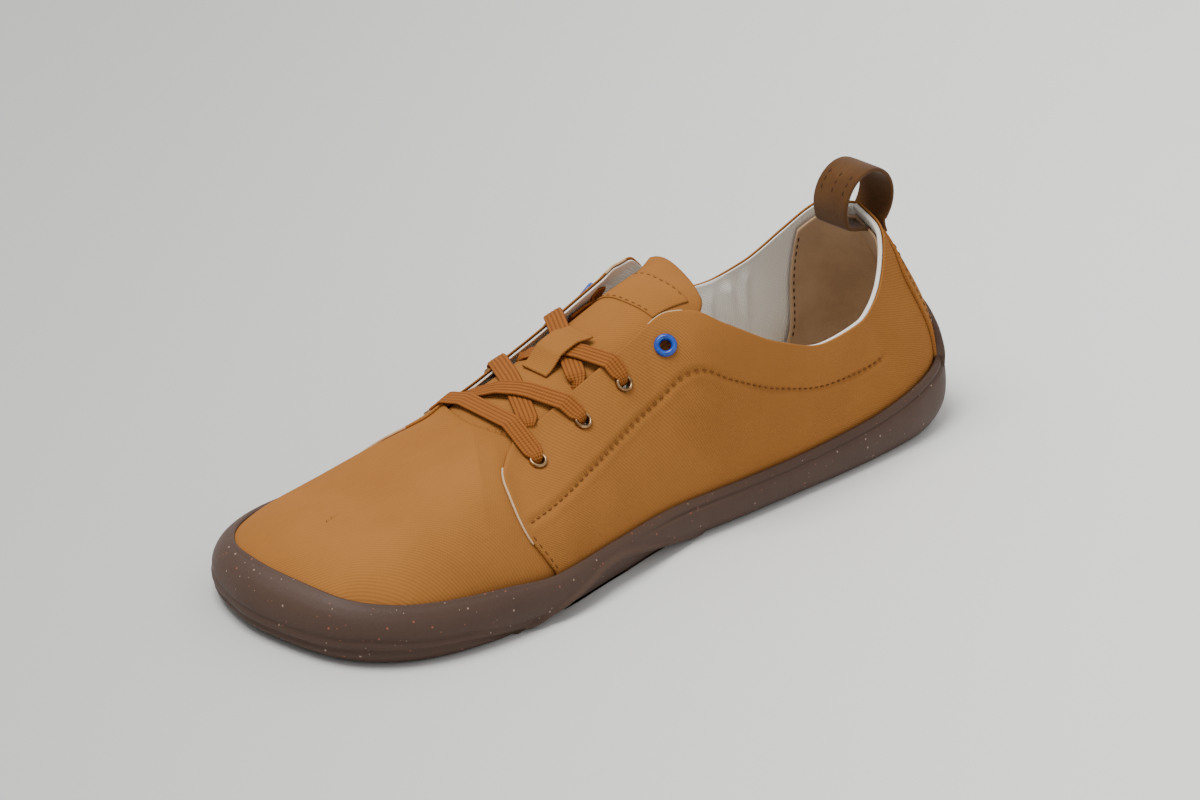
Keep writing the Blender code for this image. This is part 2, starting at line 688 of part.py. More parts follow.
def build_patch(name, shade, half_width, span, outer, inner):
    """A sheet on the heel between two distances from the upper's outer face."""
    low, high = span
    top, under = [], []
    for t in np.linspace(0, 1, 9):
        v = low + (high - low) * t
        row, below = [], []
        for a in np.linspace(-1, 1, 15):
            share = abs(a) * float(np.interp(t, *half_width))
            lift = v - (high - low) * 0.18 * abs(a) ** 6 * t ** 3
            side = 1 if a >= 0 else -1
            place = surface(side, share, lift)
            normal = outward(1, 0.0, lift) if share == 0 else outward(side, share, lift)
            normal[1] = 0.0 if share == 0 else normal[1]
            row.append(place + normal * outer)
            below.append(place + normal * inner)
        top.append(row)
        under.append(below)
    return plate(name, top, under, shade)


def build_pull_loop(leather):
    """A strap from the heel patch over the collar and down inside."""
    outside = surface(1, 0.0, 0.915) + outward(1, 0.0, 0.915) * 0.0013
    over = surface(1, 0.0, 0.96) + outward(1, 0.0, 0.96) * 0.0022
    inside = surface(1, 0.0, 0.86) - outward(1, 0.0, 0.86) * (WALL + 0.0054)
    within = surface(1, 0.0, 0.92) - outward(1, 0.0, 0.92) * (WALL + 0.0064)
    top = surface(1, 0.0, 1.0)
    centre = top + np.array([0.0020, 0.0, 0.0040])
    path = [outside, over]
    for angle in (205, 170, 135, 100, 65, 30, -5, -35):
        a = math.radians(angle)
        path.append(centre + np.array([math.cos(a), 0.0, math.sin(a)]) * LOOP_RADIUS)
    path += [within, inside]
    line = curve(path, 34)
    normals = []
    for i in range(len(line)):
        along = line[min(i + 1, 33)] - line[max(i - 1, 0)]
        normals.append(np.cross(along, (0.0, 1.0, 0.0)))
    return sweep("pull_loop", line, normals, STRAP_WIDTH, STRAP_THICK, leather)


def height_over(trees, x, y):
    """The highest face under a place, among the given ones."""
    best = -1.0
    for tree in trees:
        hit = tree.ray_cast(Vector((x, y, 0.2)), Vector((0, 0, -1)))
        if hit[0] is not None:
            best = max(best, hit[0].z)
    return best


def build_lace(shade, upper, tongue, eyelets):
    """The bar and the crossing strands, joined, clear of all they lie on."""
    trees = []
    for piece in [tongue, upper] + eyelets:
        shape = bmesh.new()
        shape.from_mesh(piece.data)
        trees.append(BVHTree.FromBMesh(shape))
        shape.free()
    places = {name: eyelet_place(side, share, way) for name, side, share, way in EYELETS}

    def strand(name, ends, lift, count=18):
        flat = curve([np.array(p) for p in ends], count)
        path, normals = [], []
        for i, (x, y) in enumerate(flat):
            normal = np.array([0.32, (y + 0.005) / 0.034, 1.0])
            along = flat[min(i + 1, count - 1)] - flat[max(i - 1, 0)]
            along = along / np.linalg.norm(along)
            reach = []
            for across in (-0.0035, -0.0018, 0, 0.0018, 0.0035):
                for ahead in (-0.0012, 0, 0.0012):
                    dx, dy = across * np.array([-along[1], along[0]]) + ahead * along
                    level = height_over(trees, x + dx, y + dy)
                    reach.append(level + normal[0] * dx + normal[1] * dy)
            clear = (LACE_THICK / 2 + GAP + 0.0003) * np.linalg.norm(normal)
            path.append(np.array([x, y, max(reach) + clear]))
            normals.append(normal)
        heights = np.array([p[2] for p in path])
        for turn in range(3):
            smooth = heights.copy()
            smooth[1:-1] = (heights[:-2] + heights[1:-1] * 2 + heights[2:]) / 4
            heights = np.maximum(smooth, heights)
        for place, z in zip(path, heights):
            place[2] = z + lift
        return sweep(name, path, normals, LACE_WIDTH, LACE_THICK, shade)

    def at(name, shift=0.0):
        centre = places[name][0]
        return (centre[0], centre[1] + shift)

    inner_1, inner_2, inner_3 = at("eyelet_inner_1"), at("eyelet_inner_2"), at("eyelet_inner_3")
    outer_1, outer_2, outer_3 = at("eyelet_outer_1"), at("eyelet_outer_2"), at("eyelet_outer_3")

    def between(a, b, part):
        return tuple(np.array(a) * (1 - part) + np.array(b) * part)

    bar = strand("lace", [inner_1, between(inner_1, outer_1, 0.5), outer_1], 0.0009)
    strands = [
        strand("strand_a", [between(outer_1, inner_2, 0.18), between(outer_1, inner_2, 0.6), inner_2], 0.0002),
        strand("strand_b", [between(inner_1, outer_2, 0.30), between(inner_1, outer_2, 0.6), outer_2], 0.0),
        strand("strand_c", [between(outer_2, inner_3, 0.06), between(outer_2, inner_3, 0.6), inner_3], 0.0003),
        strand("strand_d", [between(inner_2, outer_3, 0.08), between(inner_2, outer_3, 0.6), outer_3], 0.0001),
    ]
    for piece in strands:
        cut(bar, piece, "UNION")
    return bar


def build_lace_keeper(shade, tongue):
    """A short band on the tongue that the lace runs under."""
    path, normals = [], []
    for t in np.linspace(0, 1, 13):
        x_share = 0.508 + 0.090 * t
        place = tongue_point(x_share, 0.0)
        lift = 0.0009 + 0.0046 * min(1.0, math.sin(math.pi * t) * 1.7)
        path.append(place + np.array([0.35, 0, 0.94]) * lift)
        normals.append((0.35, 0.0, 0.94))
    return sweep("lace_keeper", path, normals, KEEPER_WIDTH, KEEPER_THICK, shade)


def build_label(shade):
    """The bare label near the top of the tongue."""
    top, under = [], []
    for x in np.linspace(0.405, 0.455, 4):
        row, below = [], []
        for a in np.linspace(-0.42, 0.42, 7):
            place = tongue_point(x, a)
            normal = np.array([0.10, 0.25 * a, 0.96])
            row.append(place + normal * 0.0011)
            below.append(place + normal * 0.0004)
        top.append(row)
        under.append(below)
    return plate("tongue_label", top, under, shade)


def main():
    for old in list(bpy.data.objects):
        bpy.data.objects.remove(old, do_unlink=True)
    canvas = material("canvas", (0.47, 0.25, 0.085), 0.85)
    rubber = material("rubber", (0.062, 0.042, 0.036), 0.60)
    foam = material("insole_cloth", (0.55, 0.50, 0.42), 0.90)
    leather = material("loop_leather", (0.20, 0.105, 0.052), 0.75)
    lace = material("lace_cloth", (0.50, 0.23, 0.07), 0.80)
    bronze = material("eyelet_bronze", (0.32, 0.20, 0.10), 0.40, 1.0)
    blue = material("eyelet_blue", (0.03, 0.12, 0.42), 0.40)

    build_outsole(rubber)
    upper = build_upper(canvas)
    build_insole(foam)
    tongue = build_tongue(canvas)
    eyelets = build_eyelets(bronze, blue)
    widths = ((0.0, 0.6, 1.0), (0.085, 0.062, 0.050))
    build_patch("heel_patch", canvas, widths, (0.05, 0.895), GAP + 0.0001 + PATCH_THICK, GAP + 0.0001)
    inner_widths = ((0.0, 0.5, 1.0), (0.155, 0.130, 0.070))
    build_patch("heel_lining", leather, inner_widths, (0.04, 0.80), -WALL - GAP - 0.00015, -WALL - GAP - 0.00015 - PATCH_THICK)
    build_pull_loop(leather)
    build_lace(lace, upper, tongue, eyelets)
    build_lace_keeper(canvas, tongue)
    build_label(canvas)

    shown = [o for o in bpy.context.scene.objects]
    corners = []
    for piece in shown:
        if not piece.hide_render:
            corners += [v.co.copy() for v in piece.data.vertices]
    middle_x = (max(c.x for c in corners) + min(c.x for c in corners)) / 2
    middle_y = (max(c.y for c in corners) + min(c.y for c in corners)) / 2
    for piece in shown:
        for vert in piece.data.vertices:
            vert.co.x -= middle_x
            vert.co.y -= middle_y


main()
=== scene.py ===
"""A right barefoot shoe: tan canvas on a brown rubber cup sole, standing empty on the floor.

The toe points along +X, the inner side of the foot is +Y and the floor is z = 0.
"""

import math

import bmesh
import bpy
import numpy as np
from mathutils import Matrix, Vector
from mathutils.bvhtree import BVHTree


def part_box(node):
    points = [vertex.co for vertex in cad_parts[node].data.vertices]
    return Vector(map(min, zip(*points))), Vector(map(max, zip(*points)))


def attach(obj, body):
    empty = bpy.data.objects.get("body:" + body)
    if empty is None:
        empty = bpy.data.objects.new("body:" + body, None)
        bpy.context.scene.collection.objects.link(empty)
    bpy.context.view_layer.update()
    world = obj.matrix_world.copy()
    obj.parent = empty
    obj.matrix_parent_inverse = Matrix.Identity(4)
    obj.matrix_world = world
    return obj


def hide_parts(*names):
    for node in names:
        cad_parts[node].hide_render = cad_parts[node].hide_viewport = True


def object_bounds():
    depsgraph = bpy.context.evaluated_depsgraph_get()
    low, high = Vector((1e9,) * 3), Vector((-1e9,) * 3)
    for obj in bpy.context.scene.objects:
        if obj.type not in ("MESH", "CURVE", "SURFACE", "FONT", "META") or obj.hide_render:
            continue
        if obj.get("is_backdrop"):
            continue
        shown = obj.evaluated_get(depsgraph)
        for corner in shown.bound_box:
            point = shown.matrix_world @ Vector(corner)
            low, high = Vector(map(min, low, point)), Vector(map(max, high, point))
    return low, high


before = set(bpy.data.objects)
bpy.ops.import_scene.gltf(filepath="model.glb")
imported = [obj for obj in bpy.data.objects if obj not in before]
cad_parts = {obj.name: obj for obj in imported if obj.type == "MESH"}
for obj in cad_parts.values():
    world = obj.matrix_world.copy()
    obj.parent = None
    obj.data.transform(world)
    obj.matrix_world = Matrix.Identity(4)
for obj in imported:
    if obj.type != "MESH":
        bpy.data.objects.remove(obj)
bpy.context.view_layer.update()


# Camera
# It stands where the photograph was taken from, seen from the shoe: in front of the toe,
# on the inner side and above, with the same small roll. It is turned to the one shoe.
eye = Vector((0.9312, 0.9015, 0.5993))
aim = Vector((0.0, -0.004, 0.0335))
level = Vector((-0.70742, 0.70564, 0.04037))
lens = 140.0

ahead = (aim - eye).normalized()
right = (level - ahead * level.dot(ahead)).normalized()
up = right.cross(ahead)
camera = bpy.data.objects.new("camera", bpy.data.cameras.new("camera"))
camera.data.lens = lens
camera.data.sensor_width = 36.0
camera.matrix_world = Matrix.Translation(eye) @ Matrix((right, up, -ahead)).transposed().to_4x4()
bpy.context.scene.collection.objects.link(camera)
bpy.context.scene.camera = camera


# Outsole
# One moulded cup of dark brown rubber with pale flecks: a rounded wall with a lip round the
# upper, a lens-shaped hollow under the arch, and a flat tread of pads with fine ridges.
LENGTH = 0.284          # over the rubber
WIDTH = 0.097           # over the rubber, across the ball
RIM = 0.0128            # height of the wall beside the arch
FLOOR = 0.0058          # rubber under the foot
LIP = 0.0014            # thickness of the wall's upper edge
MEDIAL_OUTLINE = (      # along (share of LENGTH), across (share of WIDTH)
    (0.000, -0.02), (0.010, 0.125), (0.042, 0.245), (0.100, 0.315), (0.180, 0.345),
    (0.280, 0.365), (0.400, 0.380), (0.520, 0.387), (0.620, 0.438), (0.720, 0.496),
    (0.820, 0.508), (0.895, 0.478), (0.950, 0.398), (0.985, 0.262), (1.000, 0.020),
)
LATERAL_OUTLINE = (
    (0.000, -0.02), (0.010, -0.165), (0.040, -0.265), (0.100, -0.325), (0.180, -0.330),
    (0.280, -0.335), (0.400, -0.355), (0.520, -0.415), (0.620, -0.470), (0.720, -0.500),
    (0.800, -0.500), (0.870, -0.472), (0.930, -0.400), (0.970, -0.290), (0.992, -0.145),
    (1.000, 0.020),
)
SOLE = (                # along, then in shares of RIM: tread, rim, tuck of the tread, of the rim
    (0.00, 0.22, 1.85, 0.50, 0.22),
    (0.05, 0.06, 1.62, 0.45, 0.22),
    (0.10, 0.00, 1.42, 0.36, 0.22),
    (0.20, 0.00, 1.10, 0.30, 0.22),
    (0.35, 0.04, 0.98, 0.28, 0.22),
    (0.50, 0.04, 0.98, 0.28, 0.22),
    (0.60, 0.00, 0.96, 0.26, 0.22),
    (0.72, 0.00, 0.96, 0.27, 0.24),
    (0.80, 0.00, 1.14, 0.33, 0.34),
    (0.88, 0.01, 1.27, 0.36, 0.40),
    (0.94, 0.04, 1.36, 0.36, 0.42),
    (0.98, 0.08, 1.46, 0.36, 0.43),
    (1.00, 0.10, 1.54, 0.36, 0.52),
)
ARCH_HOLLOW = (
    (0.475, -0.05), (0.520, 0.16), (0.569, 0.38), (0.618, 0.60),
    (0.650, 0.61), (0.690, 0.44), (0.734, 0.24), (0.790, -0.05),
)
CROSS_GROOVE = (
    (0.710, 0.56), (0.725, 0.40), (0.742, 0.20), (0.750, 0.00), (0.753, -0.20), (0.762, -0.37),
)
LONG_GROOVE = (
    (0.430, 0.42), (0.520, 0.345), (0.640, 0.235), (0.742, 0.150), (0.850, 0.060), (0.945, -0.020),
)
PADS = (
    # ball
    ((0.725, 0.10), (0.640, 0.155), (0.560, 0.130), (0.500, 0.060), (0.482, -0.040), (0.510, -0.190),
     (0.560, -0.320), (0.630, -0.400), (0.690, -0.390), (0.724, -0.300), (0.732, -0.100)),
    # heel
    ((0.378, -0.02), (0.310, 0.090), (0.230, 0.125), (0.140, 0.085), (0.065, 0.045), (0.035, -0.060),
     (0.045, -0.170), (0.100, -0.255), (0.180, -0.270), (0.255, -0.240), (0.325, -0.150)),
    # inner side, heel to arch
    ((0.150, 0.200), (0.250, 0.175), (0.345, 0.125), (0.420, 0.020), (0.455, 0.030), (0.460, 0.095),
     (0.420, 0.205), (0.370, 0.300), (0.280, 0.295), (0.180, 0.270)),
    # small pad inside the long groove
    ((0.425, 0.300), (0.500, 0.165), (0.560, 0.165), (0.618, 0.195), (0.530, 0.275)),
    # toes, outer and inner
    ((0.770, 0.060), (0.772, -0.150), (0.785, -0.350), (0.850, -0.340), (0.905, -0.260), (0.935, -0.110),
     (0.925, -0.060), (0.850, 0.010)),
    ((0.768, 0.165), (0.755, 0.380), (0.830, 0.410), (0.890, 0.360), (0.935, 0.240), (0.940, 0.050),
     (0.860, 0.110)),
)
GROOVE_HALF, GROOVE_DEPTH = 0.0014, 0.0015
PAD_HALF, PAD_DEPTH = 0.001, 0.0011
RIDGE_PITCH, RIDGE_DEPTH = 0.0027, 0.00055
WIDEST = 0.42           # share of the wall's height where it stands out most
TOP_ANGLE = math.radians(72)
OUTER_LEVELS = 42       # levels of a section before the lip's top


def read(table, key):
    """Rows of a table between its own, on a smooth curve that never overshoots them."""
    rows = np.array(table, float)
    keys, values = rows[:, 0], rows[:, 1:]
    width = np.diff(keys)[:, None]
    steps = np.diff(values, axis=0) / width
    slopes = np.vstack([steps[:1], np.zeros_like(steps[1:]), steps[-1:]])
    together = steps[:-1] * steps[1:] > 0
    total = np.where(together, np.abs(steps[:-1]) + np.abs(steps[1:]), 1.0)
    slopes[1:-1] = np.where(together, 2 * steps[:-1] * np.abs(steps[1:]) / total, 0.0)
    key = np.clip(key, keys[0], keys[-1])
    index = np.clip(np.searchsorted(keys, key) - 1, 0, len(keys) - 2)
    span = width[index]
    t = (key - keys[index])[:, None] / span
    before = (1 + 2 * t) * (1 - t) ** 2 * values[index] + t * (1 - t) ** 2 * span * slopes[index]
    after = t * t * (3 - 2 * t) * values[index + 1] + t * t * (t - 1) * span * slopes[index + 1]
    return before + after


def unit(vectors):
    """The same directions, one long."""
    return vectors / np.linalg.norm(vectors, axis=-1, keepdims=True)


def travelled(points):
    """How far along a line of points each one lies."""
    return np.cumsum(np.linalg.norm(np.diff(points, axis=0, prepend=points[:1]), axis=-1), axis=0)


def smooth_line(points, count, closed=False):
    """Points evenly spread along a smooth curve through the given ones."""
    points = np.array(points, float)
    if closed:
        around = np.vstack([points[-1], points, points[:2]])
    else:
        around = np.vstack([2 * points[0] - points[1], points, 2 * points[-1] - points[-2]])
    dense = []
    for a, b, c, d in zip(around, around[1:], around[2:], around[3:]):
        for t in np.linspace(0, 1, 24, endpoint=False):
            dense.append(0.5 * (2 * b + (c - a) * t + (2 * a - 5 * b + 4 * c - d) * t ** 2
                                + (3 * b - a - 3 * c + d) * t ** 3))
    dense = np.array(dense + [around[-2]])
    length = travelled(dense)
    wanted = np.linspace(0, length[-1], count, endpoint=not closed)
    return np.array([np.interp(wanted, length, column) for column in dense.T]).T


PLAN = (LENGTH, WIDTH)
outline = smooth_line(np.array(MEDIAL_OUTLINE + LATERAL_OUTLINE[-2:0:-1]) * PLAN, 1440, closed=True)
toe_index = int(np.argmin(np.linalg.norm(outline - np.array(MEDIAL_OUTLINE[-1]) * PLAN, axis=1)))
SIDES = {1: outline[:toe_index + 1], -1: np.vstack([outline[toe_index:], outline[:1]])[::-1]}
cup_low, cup_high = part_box("outsole")
middle_y = (cup_low.y + cup_high.y - outline[:, 1].max() - outline[:, 1].min()) / 2
TO_ROW = np.array([cup_low.x, middle_y, 0.0])


def foot(side, share, inset):
    """Points of the sole's outline on one side, moved inward, and the inward direction."""
    own, other = SIDES[side], SIDES[-side]
    longer = np.vstack([other[6:0:-1], own, other[-2:-8:-1]])
    index = np.arange(len(longer))
    behind, here, before = (
        np.stack([np.interp(share * (len(own) - 1) + step, index, column) for column in longer.T], -1)
        for step in (0, 6, 12)
    )
    along = before - behind
    inward = side * unit(np.stack([along[:, 1], -along[:, 0]], -1))
    return here + inward * np.reshape(inset, (-1, 1)), inward


def near_line(places, line, closed=False):
    """How far places lie from a line of points."""
    ends = np.vstack([line, line[:1]]) if closed else line
    best = np.full(len(places), 1.0)
    for a, b in zip(ends, ends[1:]):
        step = b - a
        t = np.clip(((places - a) @ step) / (step @ step), 0, 1)
        best = np.minimum(best, np.linalg.norm(places - a - t[:, None] * step, axis=1))
    return best


def within(places, ring):
    """Which places lie inside a closed ring of points."""
    inside = np.zeros(len(places), bool)
    for a, b in zip(ring, np.roll(ring, -1, axis=0)):
        crosses = (a[1] > places[:, 1]) != (b[1] > places[:, 1])
        reach = (b[0] - a[0]) * (places[:, 1] - a[1]) / (b[1] - a[1] + 1e-12) + a[0]
        inside ^= crosses & (places[:, 0] < reach)
    return inside


def rise(value, low, high):
    """0 below low, 1 above high and smooth between."""
    t = np.clip((value - low) / (high - low), 0, 1)
    return t * t * (3 - 2 * t)
def bell(value, middle, half):
    """1 at the middle, fading to both sides."""
    return np.exp(-((value - middle) / half) ** 2)


def mesh_of(shape, name):
    """The mesh that the operators made."""
    mesh = bpy.data.meshes.new(name)
    shape.to_mesh(mesh)
    shape.free()
    return mesh


def lay(name, points, cloth=None):
    """A grid from the operator, moved onto rows of points, with its cloth coordinates in metres."""
    rows, columns = points.shape[:2]
    shape = bmesh.new()
    bmesh.ops.create_grid(shape, x_segments=rows - 1, y_segments=columns - 1, size=0.5)
    mesh = mesh_of(shape, name)
    places = np.array([vertex.co[:2] for vertex in mesh.vertices]) + 0.5
    i, j = np.rint(places * (rows - 1, columns - 1)).astype(int).T
    mesh.vertices.foreach_set("co", points[i, j].ravel())
    if cloth is None:
        ways = travelled(points).mean(axis=1), travelled(points.swapaxes(0, 1)).mean(axis=1)
        cloth = np.stack(np.meshgrid(*ways, indexing="ij"), -1)
    corner = np.empty(len(mesh.loops), int)
    mesh.loops.foreach_get("vertex_index", corner)
    mesh.uv_layers.new(name="cloth").uv.foreach_set("vector", cloth[i[corner], j[corner]].ravel())
    mesh.shade_smooth()
    return mesh


def piece(name, meshes, finish, weld=1e-6, caps=False):
    """One object of one or more meshes, welded, with its faces turned outward as they are."""
    shape = bmesh.new()
    for mesh in meshes:
        shape.from_mesh(mesh)
        bpy.data.meshes.remove(mesh)
    bmesh.ops.remove_doubles(shape, verts=shape.verts, dist=weld)
    bmesh.ops.dissolve_degenerate(shape, edges=shape.edges, dist=1e-7)
    if caps:
        bmesh.ops.holes_fill(shape, edges=[e for e in shape.edges if e.is_boundary], sides=0)
        bmesh.ops.recalc_face_normals(shape, faces=shape.faces)
    mesh = mesh_of(shape, name)
    mesh.shade_smooth()
    mesh.materials.append(finish.material)
    made = bpy.data.objects.new(name, mesh)
    bpy.context.scene.collection.objects.link(made)
    return made


class Value:
    """A socket of a finish; Python's operators add Math nodes."""

    def __init__(self, finish, socket):
        self.finish = finish
        self.socket = socket

    def math(self, operation, *values):
        return self.finish.node("Math", {"operation": operation}, dict(enumerate(values)))

    def __add__(self, other):
        return self.math("ADD", self, other)

    __radd__ = __add__

    def __mul__(self, other):
        return self.math("MULTIPLY", self, other)

    def __sub__(self, other):
        return self.math("SUBTRACT", self, other)

    def __gt__(self, other):
        return self.math("GREATER_THAN", self, other)

    def wave(self, pitch, shift=None):
        """A sine with one ridge in every pitch."""
        turned = self * (2 * math.pi / pitch)
        return self.math("SINE", turned if shift is None else turned + shift)


class Finish:
    """A material with one Principled surface."""

    def __init__(self, name, roughness, metallic=0.0, sheen=0.0, specular=0.5):
        self.material = bpy.data.materials.new(name)
        self.material.use_nodes = True
        self.tree = self.material.node_tree
        self.surface = self.tree.nodes["Principled BSDF"].inputs
        for socket, value in (("Roughness", roughness), ("Metallic", metallic), ("Sheen Weight", sheen),
                              ("Sheen Roughness", 0.5), ("Specular IOR Level", specular)):
            self.surface[socket].default_value = value

    def feed(self, socket, value):
        if isinstance(value, Value):
            self.tree.links.new(value.socket, socket)
        elif isinstance(value, tuple):
            socket.default_value = (*value, 1.0)[:len(socket.default_value)]
        else:
            socket.default_value = value

    def node(self, kind, settings, sockets, output=0):
        made = self.tree.nodes.new("ShaderNode" + kind)
        for name, setting in settings.items():
            setattr(made, name, setting)
        for name, value in sockets.items():
            self.feed(made.inputs[name], value)
        return Value(self, made.outputs[output])

    def place(self):
        return self.node("TexCoord", {}, {}, "Object")

    def cloth(self):
        return self.node("UVMap", {"uv_map": "cloth"}, {})

    def parts(self, vector):
        return [self.node("SeparateXYZ", {}, {0: vector}, axis) for axis in (0, 1)]

    def noise(self, vector, size, detail=3.0, rough=0.5):
        sockets = {"Vector": vector, "Scale": 1 / size, "Detail": detail, "Roughness": rough}
        return self.node("TexNoise", {}, sockets)

    def between(self, factor, low, high):
        return self.node("Mix", {"data_type": "RGBA"}, {0: factor, 6: low, 7: high}, 2)

    def band(self, value, low, high):
        sockets = {"Value": value, "From Min": low, "From Max": high}
        return self.node("MapRange", {"interpolation_type": "SMOOTHSTEP"}, sockets)

    def colour(self, value):
        self.feed(self.surface["Base Color"], value)

    def bump(self, height, metres, strength=1.0):
        bumped = self.node("Bump", {}, {"Height": height, "Distance": metres, "Strength": strength})
        self.feed(self.surface["Normal"], bumped)


rubber = Finish("rubber", 0.55, specular=0.32)
place = rubber.place()
broad = rubber.noise(place, 0.03)
fine = rubber.noise(place, 0.0009, detail=2.0)
base = rubber.between(broad, (0.05, 0.0255, 0.0155), (0.076, 0.039, 0.024))
base = rubber.between(fine * 0.3, base, (0.1, 0.06, 0.044))
for cell, shown, size in ((0.003, 0.5, 0.14), (0.0016, 0.7, 0.15)):
    grid = {"Vector": place, "Scale": 1 / cell, "Randomness": 1.0}
    reach = rubber.node("TexVoronoi", {"feature": "F1"}, grid, "Distance")
    chosen, tinted = rubber.parts(rubber.node("TexVoronoi", {"feature": "F1"}, grid, "Color"))
    spot = rubber.between(tinted > 0.45, (0.42, 0.29, 0.22), (0.33, 0.095, 0.055))
    base = rubber.between(rubber.band(reach, size, 0.5 * size) * (chosen > shown) * 0.8, base, spot)
rubber.colour(base)
rubber.feed(rubber.surface["Roughness"], 0.5 + rubber.noise(place, 0.012) * 0.18)
rubber.bump(fine + rubber.noise(place, 0.004) * 0.6, 0.0001, 0.7)

# The wall: sections round the outline, from under the tread's edge up to the lip and down inside.
shares = np.concatenate([np.linspace(0, 0.04, 14, endpoint=False), np.linspace(0.04, 1.0, 236)])
sections = []
for side, run in ((-1, shares), (1, shares[::-1])):
    point, inward = foot(side, run, 0.0)
    along = point[:, 0] / LENGTH
    tread, rim, tuck, inset = (read(SOLE, along) * RIM).T
    widest = tread + WIDEST * (rim - tread)
    levels = [(tuck + 0.0012, tread + 0.0003)]
    for angle in np.radians(np.linspace(0, 90, 15)):
        levels.append((tuck * (1 - np.sin(angle)), widest - (widest - tread) * np.cos(angle)))
    for part in np.linspace(0, 1, 26)[1:]:
        cosine = math.sqrt(1 - (part * math.sin(TOP_ANGLE)) ** 2)
        levels.append((inset * (1 - cosine) / (1 - math.cos(TOP_ANGLE)),
                       widest + (rim - 0.0004 - widest) * part))
    levels += [(inset + 0.00025, rim - 0.00008), (inset + 0.0006, rim), (inset + LIP - 0.0002, rim - 0.0001),
               (inset + LIP, rim - 0.0005), (inset + LIP, tread + FLOOR)]
    inward_by, height = np.transpose(levels, (1, 2, 0))
    outer = np.arange(len(levels)) < OUTER_LEVELS
    along, tread, rim = along[:, None], tread[:, None], rim[:, None]
    rear = 1 - rise(along, 0.5, 0.62)
    inward_by += outer * bell(height, rim - 0.0023, 0.00045) * (0.00065 * rear + 0.00006)
    toe = outer * rise(along, 0.66, 0.8)
    share_up = (height - tread) / (rim - tread)
    low_line = np.interp(along, (0.78, 0.86, 0.96, 1.0), (0.05, 0.26, 0.28, 0.18))
    inward_by += toe * 0.0011 * bell(share_up, low_line, 0.04)
    inward_by += toe * 0.0007 * bell(share_up, low_line + 0.19, 0.045)
    if side > 0:
        hollow_top = np.interp(along, *smooth_line(ARCH_HOLLOW, 40).T) * RIM
        inside = (along > ARCH_HOLLOW[0][0]) & (along < ARCH_HOLLOW[-1][0])
        depth = rise(hollow_top - height, -0.0002, 0.0007) * 0.0018
        bead = bell(height, hollow_top + 0.0009, 0.0008) * 0.0013
        inward_by += outer * inside * (depth - bead)
    place_xy = point[:, None] + inward[:, None] * inward_by[..., None]
    sections.append(np.concatenate([place_xy, height[..., None]], -1) + TO_ROW)
wall = lay("wall", np.concatenate(sections))


def between_edges(inset_of, height_of, rows, columns):
    """A sheet across the sole, from the outer to the inner side, inside a given inset."""
    edges = []
    for side in (-1, 1):
        run = np.linspace(0, 1, 900)
        sizes = read(SOLE, foot(side, run, 0.0)[0][:, 0] / LENGTH) * RIM
        edges.append([*foot(side, run, inset_of(sizes))[0].T, height_of(sizes)])
    low_x = min(x.min() for x, _, _ in edges)
    high_x = max(x.max() for x, _, _ in edges)
    xs = low_x + (high_x - low_x) * (0.5 - 0.5 * np.cos(np.linspace(0, np.pi, rows)))
    even = np.interp(np.arange(rows), [0, 12, rows - 13, rows - 1], [low_x, xs[12], xs[-13], high_x])
    xs = 0.25 * xs + 0.75 * even
    ends = [np.column_stack([xs, np.interp(xs, x, y), np.interp(xs, x, z)]) for x, y, z in edges]
    return np.linspace(*ends, columns, axis=1)


tread_points = between_edges(lambda sizes: sizes[:, 2], lambda sizes: sizes[:, 0], 400, 134)
ground = tread_points[..., :2].reshape(-1, 2)
carved = np.zeros(len(ground))
for line in (CROSS_GROOVE, LONG_GROOVE):
    away = near_line(ground, smooth_line(np.array(line) * PLAN, 60))
    carved = np.maximum(carved, GROOVE_DEPTH * (1 - rise(away, 0.45 * GROOVE_HALF, 1.15 * GROOVE_HALF)))
for ring in PADS:
    line = smooth_line(np.array(ring) * PLAN, 90, closed=True)
    away = near_line(ground, line, closed=True)
    deep = PAD_DEPTH * (1 - rise(away, 0.4 * PAD_HALF, 1.2 * PAD_HALF))
    rings = RIDGE_DEPTH * (0.5 + 0.5 * np.cos(2 * np.pi * away / RIDGE_PITCH)) ** 0.8
    deep = np.maximum(deep, np.where(within(ground, line) & (away > 0.8 * RIDGE_PITCH), rings, 0.0))
    carved = np.maximum(carved, deep)
tread_points[..., 2] += carved.reshape(tread_points.shape[:2])
tread_mesh = lay("tread", (tread_points + TO_ROW)[::-1])
floor_points = between_edges(lambda sizes: sizes[:, 3] + LIP, lambda sizes: sizes[:, 0] + FLOOR, 90, 24)
outsole = piece("outsole_rubber", [wall, tread_mesh, lay("floor", floor_points + TO_ROW)], rubber)
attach(outsole, "root")
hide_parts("outsole")


# Insole
# A foam sheet under cream cloth that fills the cup, slightly dished under the heel.
INSOLE_THICK = 0.0035
INSOLE_GAP = 0.0036     # from the lip's inner face
KNIT_PITCH = 0.0011


def thicken(made, metres, offset=-1.0):
    """Gives a sheet its thickness, below its face or, with an offset of 1, above it."""
    modifier = made.modifiers.new("thickness", "SOLIDIFY")
    modifier.thickness = metres
    modifier.offset = offset


insole_points = between_edges(lambda sizes: sizes[:, 3] + LIP + INSOLE_GAP,
                              lambda sizes: sizes[:, 0] + FLOOR + 0.00035, 120, 40)
across = np.linspace(-1, 1, 40)[None, :]
insole_points[..., 2] += INSOLE_THICK - 0.0009 * np.clip(np.abs(across) - 0.8, 0, 1) / 0.2
insole_points[..., 2] += 0.0007 * across ** 4 * (1 - rise(insole_points[..., 0], 0.05, 0.12))

